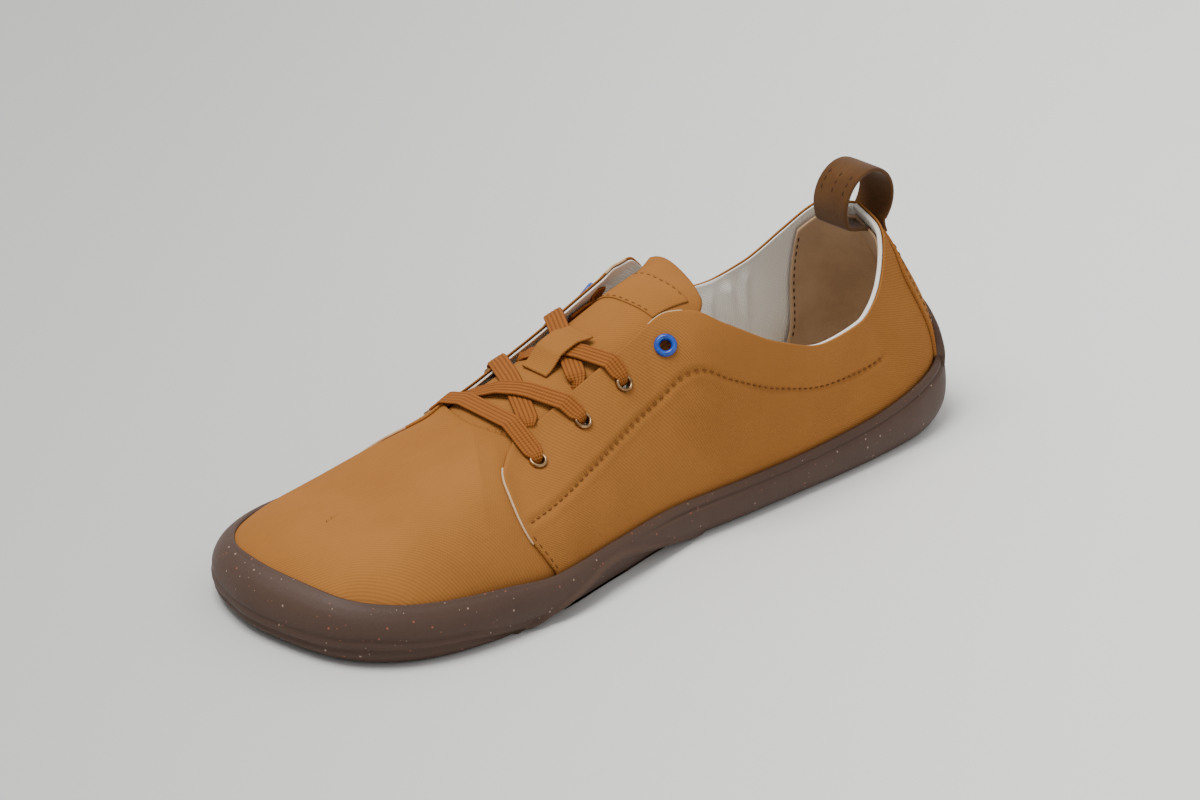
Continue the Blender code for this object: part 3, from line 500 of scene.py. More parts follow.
knit = Finish("insole_cloth", 0.9, sheen=0.2)
u, v = knit.parts(knit.place())
knit.colour(knit.between(knit.noise(knit.place(), 0.02), (0.47, 0.42, 0.34), (0.6, 0.55, 0.46)))
knit.bump(u.wave(KNIT_PITCH) * v.wave(KNIT_PITCH), 0.00012)
insole = piece("insole_foam", [lay("insole", insole_points + TO_ROW)], knit)
thicken(insole, INSOLE_THICK - 0.0008)
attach(insole, "root")
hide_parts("insole")

# Vamp
# One piece of tan cotton twill from the toe to under the quarters, cut to the last's top lines.
# Rib tables: share of the outline, x (of LENGTH), y (of WIDTH), z (of HEIGHT), lean at the foot,
# slope at the top, and the two handles.
HEIGHT = 0.070          # floor to the collar at the heel
MEDIAL_TOP = (
    (0.000, 0.095, -0.050, 1.000, 8, 62, 0.35, 0.35),
    (0.060, 0.106, 0.080, 0.945, 8, 66, 0.35, 0.35),
    (0.130, 0.137, 0.175, 0.760, 8, 74, 0.35, 0.35),
    (0.200, 0.194, 0.247, 0.645, 8, 80, 0.35, 0.35),
    (0.270, 0.264, 0.285, 0.640, 8, 82, 0.35, 0.35),
    (0.350, 0.345, 0.297, 0.735, 8, 80, 0.35, 0.35),
    (0.420, 0.420, 0.257, 0.890, 8, 66, 0.35, 0.35),
    (0.455, 0.454, 0.200, 0.960, 8, 52, 0.38, 0.32),
    (0.480, 0.474, 0.140, 0.940, 9, 42, 0.40, 0.30),
    (0.505, 0.498, 0.122, 0.880, 10, 50, 0.40, 0.28),
    (0.600, 0.590, 0.122, 0.722, 12, 46, 0.40, 0.28),
    (0.700, 0.680, 0.115, 0.585, 14, 38, 0.40, 0.30),
    (0.722, 0.688, 0.040, 0.596, 17, 12, 0.40, 0.36),
    (0.745, 0.692, -0.050, 0.600, 20, 0, 0.40, 0.38),
)
LATERAL_TOP = (
    (0.000, 0.095, -0.050, 1.000, 8, 62, 0.35, 0.35),
    (0.060, 0.106, -0.185, 0.965, 8, 68, 0.35, 0.35),
    (0.130, 0.138, -0.262, 0.835, 8, 76, 0.35, 0.35),
    (0.200, 0.193, -0.298, 0.700, 8, 82, 0.35, 0.35),
    (0.270, 0.255, -0.307, 0.655, 8, 82, 0.35, 0.35),
    (0.350, 0.327, -0.303, 0.720, 8, 78, 0.35, 0.35),
    (0.420, 0.372, -0.262, 0.895, 8, 66, 0.35, 0.35),
    (0.455, 0.397, -0.238, 0.957, 8, 54, 0.38, 0.32),
    (0.480, 0.425, -0.212, 0.965, 9, 44, 0.40, 0.30),
    (0.505, 0.450, -0.208, 0.925, 10, 56, 0.38, 0.28),
    (0.600, 0.565, -0.210, 0.735, 13, 54, 0.38, 0.28),
    (0.700, 0.674, -0.215, 0.590, 22, 48, 0.33, 0.28),
    (0.722, 0.686, -0.140, 0.596, 34, 18, 0.30, 0.32),
    (0.745, 0.692, -0.050, 0.600, 42, 0, 0.26, 0.38),
)
RIDGE = (
    (0.745, 0.692, -0.050, 0.600, 20, 0, 0.40, 0.38),
    (0.820, 0.750, -0.045, 0.525, 28, 0, 0.38, 0.38),
    (0.900, 0.822, -0.035, 0.452, 38, 0, 0.36, 0.38),
    (1.000, 0.892, -0.010, 0.405, 50, 0, 0.35, 0.38),
)
OUTER_RIDGE = tuple(    # the same crest, met from the outer side: lean and first handle differ
    (*row[:4], lean, 0, handle, 0.38)
    for row, lean, handle in zip(RIDGE, (42, 42, 46, 50), (0.26, 0.28, 0.32, 0.35))
)
FRONT_EDGE = ((0.0, 0.675), (0.25, 0.702), (0.5, 0.716), (0.65, 0.72), (0.85, 0.711), (1.0, 0.7))
STEP = 0.0009           # the quarter stands this much proud of the vamp
CANVAS = 0.0009         # one layer
VAMP_THICK = 0.0011


def skin(side, share, v):
    """Points of the outer face: share round the outline, v from the rim (0) to the top line (1)."""
    share, v = np.broadcast_arrays(np.asarray(share, float), np.asarray(v, float))
    shape = share.shape
    share, v = np.clip(share.ravel(), 0, 1), v.ravel()[:, None]
    along = foot(side, share, 0.0)[0][:, 0] / LENGTH
    rim, inset = (read(SOLE, along) * RIM).T[[1, 3]]
    base, inward = foot(side, share, inset + LIP + 0.0006)
    start = np.column_stack([base, rim])
    ridge, top_line = (RIDGE, MEDIAL_TOP) if side > 0 else (OUTER_RIDGE, LATERAL_TOP)
    row = np.where(share[:, None] >= RIDGE[0][0], read(ridge, share), read(top_line, share))
    near = np.clip(share + 0.01, RIDGE[0][0] + 0.01, 1.0)
    step = read(RIDGE, near) - read(RIDGE, near - 0.01)
    slope = step[:, 2] * HEIGHT / (step[:, 0] * LENGTH) * rise(share, RIDGE[0][0], 0.82)
    top = row[:, :3] * (LENGTH, WIDTH, HEIGHT)
    lean, onward = np.radians(row[:, 3:5]).T
    reach = np.linalg.norm(top - start, axis=1)
    away = np.column_stack([inward * np.sin(lean)[:, None], np.cos(lean)])
    blend = np.clip(share / 0.5, 0, 1)[:, None]
    flat = unit(inward * (1 - blend) + unit(top[:, :2] - start[:, :2]) * blend)
    onto = unit(np.column_stack([flat * np.cos(onward)[:, None], np.sin(onward) + flat[:, 0] * slope]))
    b = start + away * (reach * row[:, 5])[:, None]
    c = top - onto * (reach * row[:, 6])[:, None]
    place = (1 - v) ** 3 * start + 3 * v * (1 - v) ** 2 * b + 3 * v * v * (1 - v) * c + v ** 3 * top
    return (place + TO_ROW).reshape(shape + (3,))


def facing(side, share, v):
    """The outward direction of that face."""
    along = skin(side, np.minimum(share + 0.004, 1), v) - skin(side, np.maximum(share - 0.004, 0), v)
    above = np.minimum(v + 0.01, 1.0)
    return unit(np.cross(skin(side, share, above) - skin(side, share, above - 0.02), along) * side)


def on_upper(side, share, v, lift):
    """Points on the outer face, lifted outward, and the outward directions."""
    normals = facing(side, share, v)
    return skin(side, share, v) + normals * np.asarray(lift)[..., None], normals


def troughs(points, marks):
    """How deep the listed creases are at points. A mark: middle, direction, length, width, depth."""
    deep = np.zeros(points.shape[:-1])
    for middle, direction, long, wide, depth in marks:
        direction = unit(np.array(direction))
        gap = points - np.array(middle)
        along = gap @ direction
        aside = np.linalg.norm(gap - along[..., None] * direction, axis=-1)
        deep += depth * np.exp(-(along / long) ** 2 - (aside / wide) ** 2)
    return deep


TWILL_PITCH = 0.0011


def twill(name, dark, light):
    """Cotton twill: diagonal ribs over a fine thread pattern, with slow changes of shade."""
    finish = Finish(name, 0.86, specular=0.04)
    cloth = finish.cloth()
    u, v = finish.parts(cloth)
    drift = finish.noise(cloth, 0.006, detail=2.0) * 0.9
    weave = (u + v).wave(TWILL_PITCH, drift) * 0.5 + (u - v).wave(0.62 * TWILL_PITCH, drift) * 0.22
    slow = finish.noise(finish.place(), 0.035, detail=4.0)
    stretched = finish.node("VectorMath", {"operation": "MULTIPLY"}, {0: cloth, 1: (0.25, 1.0, 1.0)})
    slub = finish.noise(stretched, 0.0012)
    base = finish.between(finish.band(slow, 0.3, 0.72), dark, light)
    worn = finish.band(weave + slub * 0.7, -0.5, 1.1) * 0.36
    finish.colour(finish.between(worn, base, tuple(c * 1.4 for c in light)))
    finish.bump(weave + slub * 0.8, 0.0001, 0.6)
    return finish


canvas = twill("canvas_twill", (0.275, 0.109, 0.0265), (0.325, 0.131, 0.0325))

vs = np.concatenate([np.linspace(-0.04, 0.9, 46), np.linspace(0.91, 1.0, 10)])
start = np.minimum(np.interp(vs, *np.array(FRONT_EDGE).T) - 0.034, 0.684)
halves = []
for side, run in ((-1, 1), (1, -1)):
    share = start + (1 - start) * np.linspace(0, 1, 120)[::run, None]
    sunk = STEP * (1 - rise(share, 0.735, 0.85))
    halves.append(skin(side, share, vs) - facing(side, np.minimum(share, 0.996), vs) * sunk[..., None])
met = share[::-1, -1] >= RIDGE[0][0]
halves[0][met, -1] = halves[1][::-1][met, -1] = (halves[0][met, -1] + halves[1][::-1][met, -1]) / 2
halves[0][-1] = halves[1][0] = (halves[0][-1] + halves[1][0]) / 2
vamp_points = np.concatenate(halves)
vamp = piece("vamp_canvas", [lay("vamp", vamp_points, vamp_points[..., :2])], canvas, weld=1.2e-4)
thicken(vamp, VAMP_THICK)
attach(vamp, "root")
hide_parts("upper")


# Quarters
# The two sides of the upper, sewn at the heel and laid on the vamp. Their front edge is cut raw,
# the top line is turned in, and a stitched line shapes them below the eyelets and the collar.
STITCH_LINE = (
    (0.697, 0.335), (0.680, 0.362), (0.629, 0.403), (0.582, 0.458), (0.533, 0.517),
    (0.499, 0.545), (0.475, 0.605), (0.459, 0.645), (0.435, 0.655), (0.400, 0.638),
    (0.340, 0.600), (0.274, 0.550), (0.230, 0.515), (0.175, 0.490),
)
QUARTER_MARKS = (
    ((-0.010, 0.028, 0.046), (1.0, 0.1, 0.7), 0.016, 0.0045, 0.0006),
    ((-0.035, 0.031, 0.036), (1.0, 0.0, -0.25), 0.020, 0.0060, 0.0005),
    ((0.020, 0.028, 0.033), (1.0, 0.05, -0.45), 0.022, 0.0070, 0.0005),
    ((-0.098, 0.024, 0.036), (0.5, -0.3, 1.0), 0.012, 0.0050, 0.0007),
    ((-0.082, 0.030, 0.030), (0.7, 0.0, -0.5), 0.012, 0.0055, 0.0005),
    ((-0.040, -0.033, 0.036), (1.0, 0.0, 0.5), 0.016, 0.0060, 0.0008),
    ((-0.060, -0.032, 0.032), (0.9, 0.0, 0.8), 0.014, 0.0050, 0.0007),
    ((-0.078, -0.030, 0.034), (0.6, 0.0, 1.0), 0.012, 0.0050, 0.0007),
    ((0.005, -0.030, 0.044), (1.0, -0.1, -0.6), 0.016, 0.0060, 0.0006),
    ((0.030, -0.034, 0.034), (1.0, -0.1, -0.5), 0.018, 0.0065, 0.0005),
)
SIDE_HIGH = 0.045       # about what v spans on the side
TURN_IN = 0.0006        # radius of the turned top line
down = np.array([0.0, 0.00012, 0.0003, 0.0006, 0.001])
heights = np.concatenate([np.linspace(-0.05, 0.965, 62), 1 - down[::-1] / SIDE_HIGH])
front = np.interp(heights, *np.array(FRONT_EDGE).T)
share = np.concatenate([np.linspace(0, 0.1, 24, endpoint=False), np.linspace(0.1, 1, 196)])[:, None]
late = rise(share, 0.75, 1.0)
share = share * (0.7 * (1 - late) + front * late)
turned = np.clip(1 - (1 - heights) * SIDE_HIGH / TURN_IN, 0, 1)
halves = []
for side in (1, -1):
    points = skin(side, share, heights)
    away = near_line(points.reshape(-1, 3), skin(side, *smooth_line(STITCH_LINE, 260).T)).reshape(share.shape)
    sunk = 0.0005 * bell(away, 0, 0.001) - 0.00016 * bell(away, 0.0022, 0.0012)
    sunk += troughs(points, QUARTER_MARKS) + 0.00045 * (1 - np.sqrt(1 - turned ** 2))
    points = points - facing(side, share, heights) * sunk[..., None]
    halves.append(points[::-1] if side > 0 else points[1:])
quarters = piece("quarters_canvas", [lay("quarters", np.concatenate(halves))], canvas)
thicken(quarters, CANVAS)
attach(quarters, "root")
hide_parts("upper")


def swept(path, normals, section, widths=1.0):
    """A band or cord along a path. Its section lists (across, up); widths scale it along the way."""
    ahead = np.roll(path, -1, axis=0) - np.roll(path, 1, axis=0)
    ahead[0], ahead[-1] = path[1] - path[0], path[-1] - path[-2]
    ahead = unit(ahead)
    normals = unit(normals - ahead * np.sum(normals * ahead, axis=1, keepdims=True))
    section = np.array([*section, section[0]]) * np.broadcast_to(widths, (len(path), 2))[:, None]
    aside = np.cross(ahead, normals)
    across, above = aside[:, None] * section[..., :1], normals[:, None] * section[..., 1:]
    return lay("band", path[:, None] + across + above)


def oval(width, thick, count=12, square=0.5):
    """A flat section with rounded edges."""
    angles = np.linspace(0, 2 * math.pi, count, endpoint=False)
    return [(math.copysign(abs(math.cos(a)) ** square, math.cos(a)) * width / 2,
             math.copysign(abs(math.sin(a)) ** square, math.sin(a)) * thick / 2) for a in angles]


raw = Finish("cut_edge", 0.9)
raw.colour(raw.between(raw.noise(raw.place(), 0.0012), (0.5, 0.3, 0.14), (0.68, 0.47, 0.27)))
raw.bump(raw.noise(raw.place(), 0.0005), 0.0001)
heights = np.linspace(0.2, 0.7, 40)
front = np.interp(heights, *smooth_line(FRONT_EDGE, 40).T)
corner = np.linspace(0.497, 0.462, 16)
edge_meshes = []
for side in (1, -1):
    for share, v in ((front, heights), (corner, 0.998)):
        edge_meshes.append(swept(*on_upper(side, share, v, -0.00042), oval(0.0005, 0.00082, 8, 0.8)))
raw_edges = piece("quarter_cut_edges", edge_meshes, raw, caps=True)
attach(raw_edges, "root")


# Lining
# Cream cotton that backs the quarters. It is rolled at the collar, where it is a little padded,
# and it lies in soft upright wrinkles inside the heel.
CUP_FLOOR = 0.0085      # the lining's and the pad's lower edge, inside the cup
LINING_THICK = 0.0004
LINING_BACK = CANVAS + 0.00005      # from the outer face
LINING_MARKS = []
for k in range(9):
    middle = (-0.088 + 0.0085 * k + 0.002 * math.sin(3.1 * k), 0.0, 0.04 + 0.004 * math.sin(2.3 * k))
    direction = (0.3 * math.sin(1.7 * k), 0.0, 1.0)
    long, wide = 0.014 + 0.003 * math.sin(k), 0.002 + 0.0006 * math.sin(1.3 * k)
    LINING_MARKS.append((middle, direction, long, wide, -0.0019 if k % 2 else -0.0011))


def straight_down(edge):
    """Points below an edge, down to the floor of the cup."""
    heights = np.linspace(edge[:, 2], CUP_FLOOR, 6)[1:].T
    return edge[:, None] * (1, 1, 0) + heights[..., None] * (0, 0, 1)


share = np.concatenate([np.linspace(0, 0.1, 16, endpoint=False), np.linspace(0.1, 0.7, 150)])[:, None]
v = np.linspace(0.985, 0.0, 54)
halves = []
for side, fade in ((1, (0.15, 0.4)), (-1, (0.02, 0.1))):
    padded_by = 0.0003 + 0.0005 * (1 - rise(share, *fade))
    points, normals = on_upper(side, share, v, 0.0)
    wrinkles = troughs(points * (1, 0, 1), LINING_MARKS) * rise(1 - v, 0.03, 0.2)
    wrinkles -= troughs(points, QUARTER_MARKS)
    face = points - normals * (LINING_BACK + 2 * padded_by - wrinkles)[..., None]
    edge, out = points[:, 0], normals[:, 0]
    upward = unit(edge - skin(side, share[:, 0], 0.965))
    roll = []
    for angle in np.radians(np.linspace(0, 170, 9)):
        inset = LINING_BACK + padded_by * (1 - math.cos(angle))
        roll.append(edge - out * inset + upward * padded_by * 0.8 * math.sin(angle))
    grid = np.concatenate([np.stack(roll, 1), face, straight_down(face[:, -1])], 1)
    halves.append(grid[::-1] if side > 0 else grid[1:])
cotton = Finish("lining_cotton", 0.92, sheen=0.15, specular=0.2)
u, v = cotton.parts(cotton.cloth())
shade = cotton.noise(cotton.place(), 0.015, detail=4.0)
cotton.colour(cotton.between(shade, (0.8, 0.745, 0.66), (0.9, 0.85, 0.77)))
cotton.bump((u.wave(0.0007) + v.wave(0.0007)) * 0.5 + cotton.noise(cotton.cloth(), 0.003), 0.0001)
lining = piece("lining_cotton", [lay("lining", np.concatenate(halves))], cotton)
thicken(lining, LINING_THICK)
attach(lining, "root")


# Heel lining
# A pad of brown microsuede sewn over the lining inside the heel, against rubbing.
def microsuede(name, dark, light):
    """Short nap with soft brushed patches."""
    finish = Finish(name, 0.95, sheen=0.15, specular=0.08)
    nap = finish.noise(finish.place(), 0.0007)
    brushed = finish.noise(finish.place(), 0.012, detail=4.0, rough=0.6)
    shade = finish.between(finish.band(brushed, 0.3, 0.7), dark, light)
    finish.colour(finish.between(nap * 0.35, shade, tuple(1.4 * c for c in light)))
    finish.bump(nap + brushed * 0.5, 0.00018, 0.8)
    return finish


# The pad and the pull loop use one microsuede in two copies: the pad's is painted several times paler, as
# painted light inside the heel, and the loop's darker, as painted shade.
pad_suede_painted_light = microsuede("pad_microsuede_painted_light", (0.37, 0.23, 0.13), (0.45, 0.285, 0.165))
suede = microsuede("loop_microsuede_painted_shade", (0.072, 0.03, 0.009), (0.102, 0.044, 0.013))
HEEL_LINING_HALF = ((0.0, 0.16), (0.5, 0.145), (1.0, 0.112))
HEEL_LINING_DEEP = LINING_BACK + 0.0021     # from the upper's outer face to the pad's


def round_heel(count, half, v_of, lift_of):
    """Rows of points round the heel, from the outer to the inner side."""
    rows = []
    for a in np.linspace(-1, 1, count):
        v = v_of(abs(a))
        rows.append(on_upper(1 if a >= 0 else -1, abs(a) * half, v, lift_of(v))[0])
    return np.array(rows)


levels = np.linspace(0.0, 1.0, 50)
spread = np.interp(levels, *smooth_line(HEEL_LINING_HALF, 30).T)
pad_points = round_heel(90, spread, lambda a: 0.03 + 0.9 * levels, lambda v: -HEEL_LINING_DEEP)
pad_points = np.concatenate([straight_down(pad_points[:, 0])[:, ::-1], pad_points], 1)
heel_lining = piece("heel_lining_suede", [lay("heel_lining", pad_points)], pad_suede_painted_light)
thicken(heel_lining, 0.0007, 1.0)
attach(heel_lining, "root")
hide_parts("heel_lining")


# Heel patch
# A canvas piece over the seam at the back, from the rubber to just below the collar,
# with rounded upper corners and a row of stitches inside its edge.
PATCH_HALF = ((0.0, 0.086), (0.6, 0.083), (0.85, 0.074), (1.0, 0.04))


def soften(made, metres):
    """Rounds the cut edges."""
    modifier = made.modifiers.new("rounding", "BEVEL")
    modifier.width = metres
    modifier.segments = 2
    modifier.limit_method = "ANGLE"


levels = np.linspace(0, 1, 60)
spread = np.interp(levels, *smooth_line(PATCH_HALF, 40).T)
patch_points = round_heel(70, spread, lambda a: -0.02 + (0.9 - 0.03 * a ** 2) * levels, lambda v: 0.0001)
heel_patch = piece("heel_patch_canvas", [lay("heel_patch", patch_points[::-1])], canvas)
thicken(heel_patch, 0.001, 1.0)
soften(heel_patch, 0.0003)
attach(heel_patch, "root")
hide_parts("heel_patch")


# Heel tab
# The rubber runs up the back of the heel patch in one rounded tongue.
TAB_HALF, TAB_HIGH, TAB_THICK = 0.085, 0.25, 0.0032
TAB_OUT = ((-0.14, 0.0034), (0.0, 0.0038), (0.12, 0.0031), (0.25, 0.0019))
tab_points = round_heel(60, TAB_HALF, lambda a: np.linspace(-0.14, TAB_HIGH * (1 - a ** 6) + 0.004, 24),
                        lambda v: np.interp(v, *np.array(TAB_OUT).T))
tab = piece("heel_tab_rubber", [lay("heel_tab", tab_points[::-1])], rubber)
thicken(tab, TAB_THICK)
soften(tab, 0.0007)
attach(tab, "root")


# Tongue
# A doubled sheet of the same twill that grows out of the vamp, with a cut top edge.
# Columns: x (of LENGTH), middle, half width (of WIDTH), crown and drop at the edges (of HEIGHT).
TONGUE = (
    (0.345, -0.07, 0.190, 1.010, 0.070),
    (0.400, -0.045, 0.165, 0.975, 0.100),
    (0.450, -0.04, 0.170, 0.925, 0.130),
    (0.520, -0.04, 0.170, 0.825, 0.130),
    (0.600, -0.045, 0.180, 0.712, 0.130),
    (0.665, -0.05, 0.185, 0.622, 0.110),
    (0.692, -0.05, 0.185, 0.5855, 0.070),
    (0.735, -0.05, 0.180, 0.528, 0.070),
)
TONGUE_CUT = (          # across, how far the top edge is cut back (of LENGTH)
    (-1.0, 0.016), (-0.5, 0.018), (0.0, 0.024), (0.5, 0.036), (0.75, 0.043), (1.0, 0.064),
)
TONGUE_THICK = 0.002


def tongue_point(x_share, across):
    """Points of the tongue's upper face, across from -1 (outer edge) to 1 (inner edge)."""
    x_share, across = np.broadcast_arrays(np.asarray(x_share, float), np.asarray(across, float))
    shape = x_share.shape
    x_share, across = x_share.ravel(), across.ravel()
    middle, half, crown, drop = read(TONGUE, x_share).T
    sag = 8 * np.maximum(0.0, 0.46 - x_share) ** 2 * (across + 1)
    drop = drop * np.where(across > 0, 1 - 0.58 * rise(x_share, 0.4, 0.47), 1.0)
    place = np.column_stack([x_share * LENGTH, (middle + across * half) * WIDTH,
                             (crown - drop * np.abs(across) ** 3 - sag) * HEIGHT])
    return (place + TO_ROW).reshape(shape + (3,))


def on_tongue(x_share, across, lift):
    """Points on that face, lifted, and its upward directions."""
    lengthways = tongue_point(x_share + 0.004, across) - tongue_point(x_share - 0.004, across)
    sideways = tongue_point(x_share, across + 0.02) - tongue_point(x_share, across - 0.02)
    normals = unit(np.cross(lengthways, sideways))
    return tongue_point(x_share, across) + normals * np.asarray(lift)[..., None], normals


def tree_of(made):
    """A search tree of a mesh, or of an object with its modifiers."""
    shape = bmesh.new()
    if isinstance(made, bpy.types.Mesh):
        shape.from_mesh(made)
    else:
        shape.from_object(made, bpy.context.evaluated_depsgraph_get())
    tree = BVHTree.FromBMesh(shape)
    shape.free()
    return tree


def top_at(trees, x, y, missed=-1.0):
    """The height of the first surface below the sky."""
    hits = [tree.ray_cast(Vector((x, y, 0.2)), Vector((0, 0, -1)))[0] for tree in trees]
    return max((hit.z for hit in hits if hit is not None), default=missed)


along = np.linspace(0, 1, 150)[:, None]
across = np.linspace(-1, 1, 60)
cut_back = np.interp(across, *smooth_line(TONGUE_CUT, 40).T) * (1 - along)
grid_x = TONGUE[0][0] + (TONGUE[-1][0] - TONGUE[0][0]) * along + cut_back
side_edge = np.clip((np.abs(across) - 0.94) / 0.06, 0, 1)
top_edge = np.clip((0.02 - along) / 0.02, 0, 1)
tongue_points, _ = on_tongue(grid_x, across, -0.0006 * np.maximum(side_edge, top_edge) ** 2)
bpy.context.view_layer.update()
vamp_tree = tree_of(vamp)
for i, j in np.argwhere(grid_x > 0.66):
    x, y, z = tongue_points[i, j]
    tongue_points[i, j, 2] = min(z, top_at([vamp_tree], x, y, 1.0) - VAMP_THICK - 0.0002)
tongue = piece("tongue_canvas", [lay("tongue", tongue_points)], canvas)
thicken(tongue, TONGUE_THICK - 0.0004)
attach(tongue, "root")
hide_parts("tongue")


# Pull loop
# A strap of the brown microsuede, from under the heel patch over the collar and down inside.
STRAP_WIDTH, STRAP_THICK, LOOP_RADIUS = 0.014, 0.0015, 0.0108
LOOP_OFFSET = (0.0029, 0.0, 0.0020)     # from the collar's top to the loop's centre


def heel_at(v, lift):
    return on_upper(1, 0.0, v, lift)[0] * (1, 0, 1)


def on_loop(degrees, radius):
    a = math.radians(degrees)
    return heel_at(1.0, 0.0) + LOOP_OFFSET + np.array([math.cos(a), 0.0, math.sin(a)]) * radius


path = [heel_at(0.78, 0.0003), heel_at(0.83, 0.0006), heel_at(0.87, 0.0014)]
path += [on_loop(angle, LOOP_RADIUS) for angle in range(220, -60, -20)]
path += [heel_at(0.915, -0.0062), heel_at(0.875, -0.0048)]
line = smooth_line(path, 90)
low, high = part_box("pull_loop")
loop_y = (low.y + high.y) / 2 + 0.001
line[:, 1] = loop_y
strap_normals = np.cross(np.gradient(line, axis=0), (0.0, 1.0, 0.0))
strap = swept(line, strap_normals, oval(STRAP_WIDTH, STRAP_THICK, 28, 0.3))
# The strap takes the darker copy of the microsuede: painted shade.
pull_loop = piece("pull_loop_strap", [strap], suede, caps=True)
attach(pull_loop, "root")
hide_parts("pull_loop")

# Eyelets
# Rolled metal rings set through quarter and lining: three bronze pairs, and a blue pair on top.
EYELET_HOLE, EYELET_OUT, EYELET_CUT = 0.0017, 0.0028, 0.0022


def metal(name, dark, light, roughness, metallic):
    finish = Finish(name, roughness, metallic)
    worn = finish.noise(finish.place(), 0.0016)
    finish.colour(finish.between(finish.band(worn, 0.35, 0.65), dark, light))
    finish.bump(worn, 0.00004, 0.5)
    return finish


bronze = metal("eyelet_bronze", (0.24, 0.14, 0.065), (0.44, 0.29, 0.15), 0.34, 1.0)
enamel = metal("eyelet_enamel", (0.004, 0.04, 0.3), (0.008, 0.075, 0.42), 0.3, 0.0)
seats, places = {}, {}
dense_share, dense_v = np.meshgrid(np.linspace(0.44, 0.72, 240), np.linspace(0.5, 1.0, 160), indexing="ij")
for side, word in ((1, "inner"), (-1, "outer")):
    dense_skin = skin(side, dense_share, dense_v)
    for row in ("1", "2", "3", "top"):
        node = f"eyelet_{word}_{row}"
        low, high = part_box(node)
        away = np.linalg.norm(dense_skin - np.array((low + high) / 2), axis=-1)
        k = np.unravel_index(np.argmin(away), away.shape)
        seat, normal = on_upper(side, dense_share[k], dense_v[k], 0.0)
        seats[word, row] = (seat, normal)
        places[word, row] = (dense_share[k], dense_v[k])
        blue = row == "top"
        radius = EYELET_OUT + (0.0007 if blue else 0.0)
        section = [(EYELET_HOLE, -0.0019), (EYELET_HOLE, 0.0)]
        for angle in np.radians(np.linspace(170, 0, 9)):
            section.append((EYELET_HOLE + (radius - EYELET_HOLE) * (0.5 + 0.5 * math.cos(angle)),
                            0.0002 + 0.001 * math.sin(angle)))
        section += [(radius, -0.0001), (EYELET_HOLE + 0.0004, -0.0001), (EYELET_HOLE + 0.0004, -0.0019)]
        shape = bmesh.new()
        ring = [shape.verts.new((r, 0.0, z)) for r, z in section]
        edges = [shape.edges.new((a, b)) for a, b in zip(ring, ring[1:] + ring[:1])]
        bmesh.ops.spin(shape, geom=ring + edges, cent=(0, 0, 0), axis=(0, 0, 1), angle=2 * math.pi,
                       steps=40, use_merge=True)
        bmesh.ops.recalc_face_normals(shape, faces=shape.faces)
        turn = Vector(normal).to_track_quat("Z", "Y").to_matrix().to_4x4()
        bmesh.ops.transform(shape, matrix=Matrix.Translation(Vector(seat)) @ turn, verts=shape.verts)
        eyelet = piece(f"{node}_ring", [mesh_of(shape, node)], enamel if blue else bronze)
        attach(eyelet, "root")
        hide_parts(node)


for cloth in (quarters, lining):
    shape = bmesh.new()
    shape.from_mesh(cloth.data)
    cut = set()
    for seat, normal in seats.values():
        for face in shape.faces:
            gap = np.array(face.calc_center_median()) - seat
            if gap @ gap < 0.0001 and np.linalg.norm(gap - normal * (gap @ normal)) < EYELET_CUT:
                cut.add(face)
    bmesh.ops.delete(shape, geom=list(cut), context="FACES")
    shape.to_mesh(cloth.data)
    shape.free()


# Lace
# A flat woven lace with lengthwise ribs: a bar across the lowest eyelets, then crossing strands
# to the second and third pair. Its ends lie hidden under the quarters, up to the top eyelets.
LACE_WIDTH, LACE_THICK, LACE_RIBS = 0.0064, 0.0011, 5
HIDDEN_END = 0.0028     # depth of the lace's ends behind the top eyelets
lace_cloth = Finish("lace_weave", 0.8, specular=0.1)
u, v = lace_cloth.parts(lace_cloth.cloth())
pick = u.wave(0.0009)
# The colour is darkest in the grooves between the ribs: painted shade in the grooves; the pick and noise are
# the weave's own tone.
cord = v.wave(LACE_WIDTH / LACE_RIBS, -0.5 * math.pi)
tint = lace_cloth.band(cord + pick * 0.25 + lace_cloth.noise(lace_cloth.place(), 0.002) * 0.8, -0.7, 0.9)
lace_cloth.colour(lace_cloth.between(tint, (0.185, 0.058, 0.012), (0.3, 0.1, 0.02)))
lace_cloth.bump(pick, 0.00008, 0.6)


def lace_section():
    """The upper side has ribs; the lower one is flat."""
    points = []
    for upper, run in ((True, np.arange(31) / 30), (False, 1 - np.arange(1, 10) / 10)):
        for a in run:
            rib = 0.00007 * math.cos(2 * math.pi * LACE_RIBS * a) if upper else LACE_THICK
            edge = math.sqrt(max(0.0, 1 - abs(2 * a - 1) ** 6))
            points.append(((a - 0.5) * LACE_WIDTH, (LACE_THICK / 2 - rib) * edge))
    return points


def taut(way, heights):
    """The lowest line over all the heights, as a pulled lace lies."""
    kept = [0]
    for i in range(1, len(way)):
        while len(kept) > 1:
            a, b = kept[-2:]
            climb = (heights[i] - heights[a]) * (way[b] - way[a])
            if (heights[b] - heights[a]) * (way[i] - way[a]) > climb:
                break
            kept.pop()
        kept.append(i)
    return np.interp(way, way[kept], heights[kept])


def relaxed(heights, times):
    """Heights smoothed along the way, never below what they were."""
    least = heights
    for _ in range(times):
        smoothed = heights.copy()
        smoothed[1:-1] = (heights[:-2] + heights[1:-1] * 2 + heights[2:]) / 4
        heights = np.maximum(smoothed, least)
    return heights


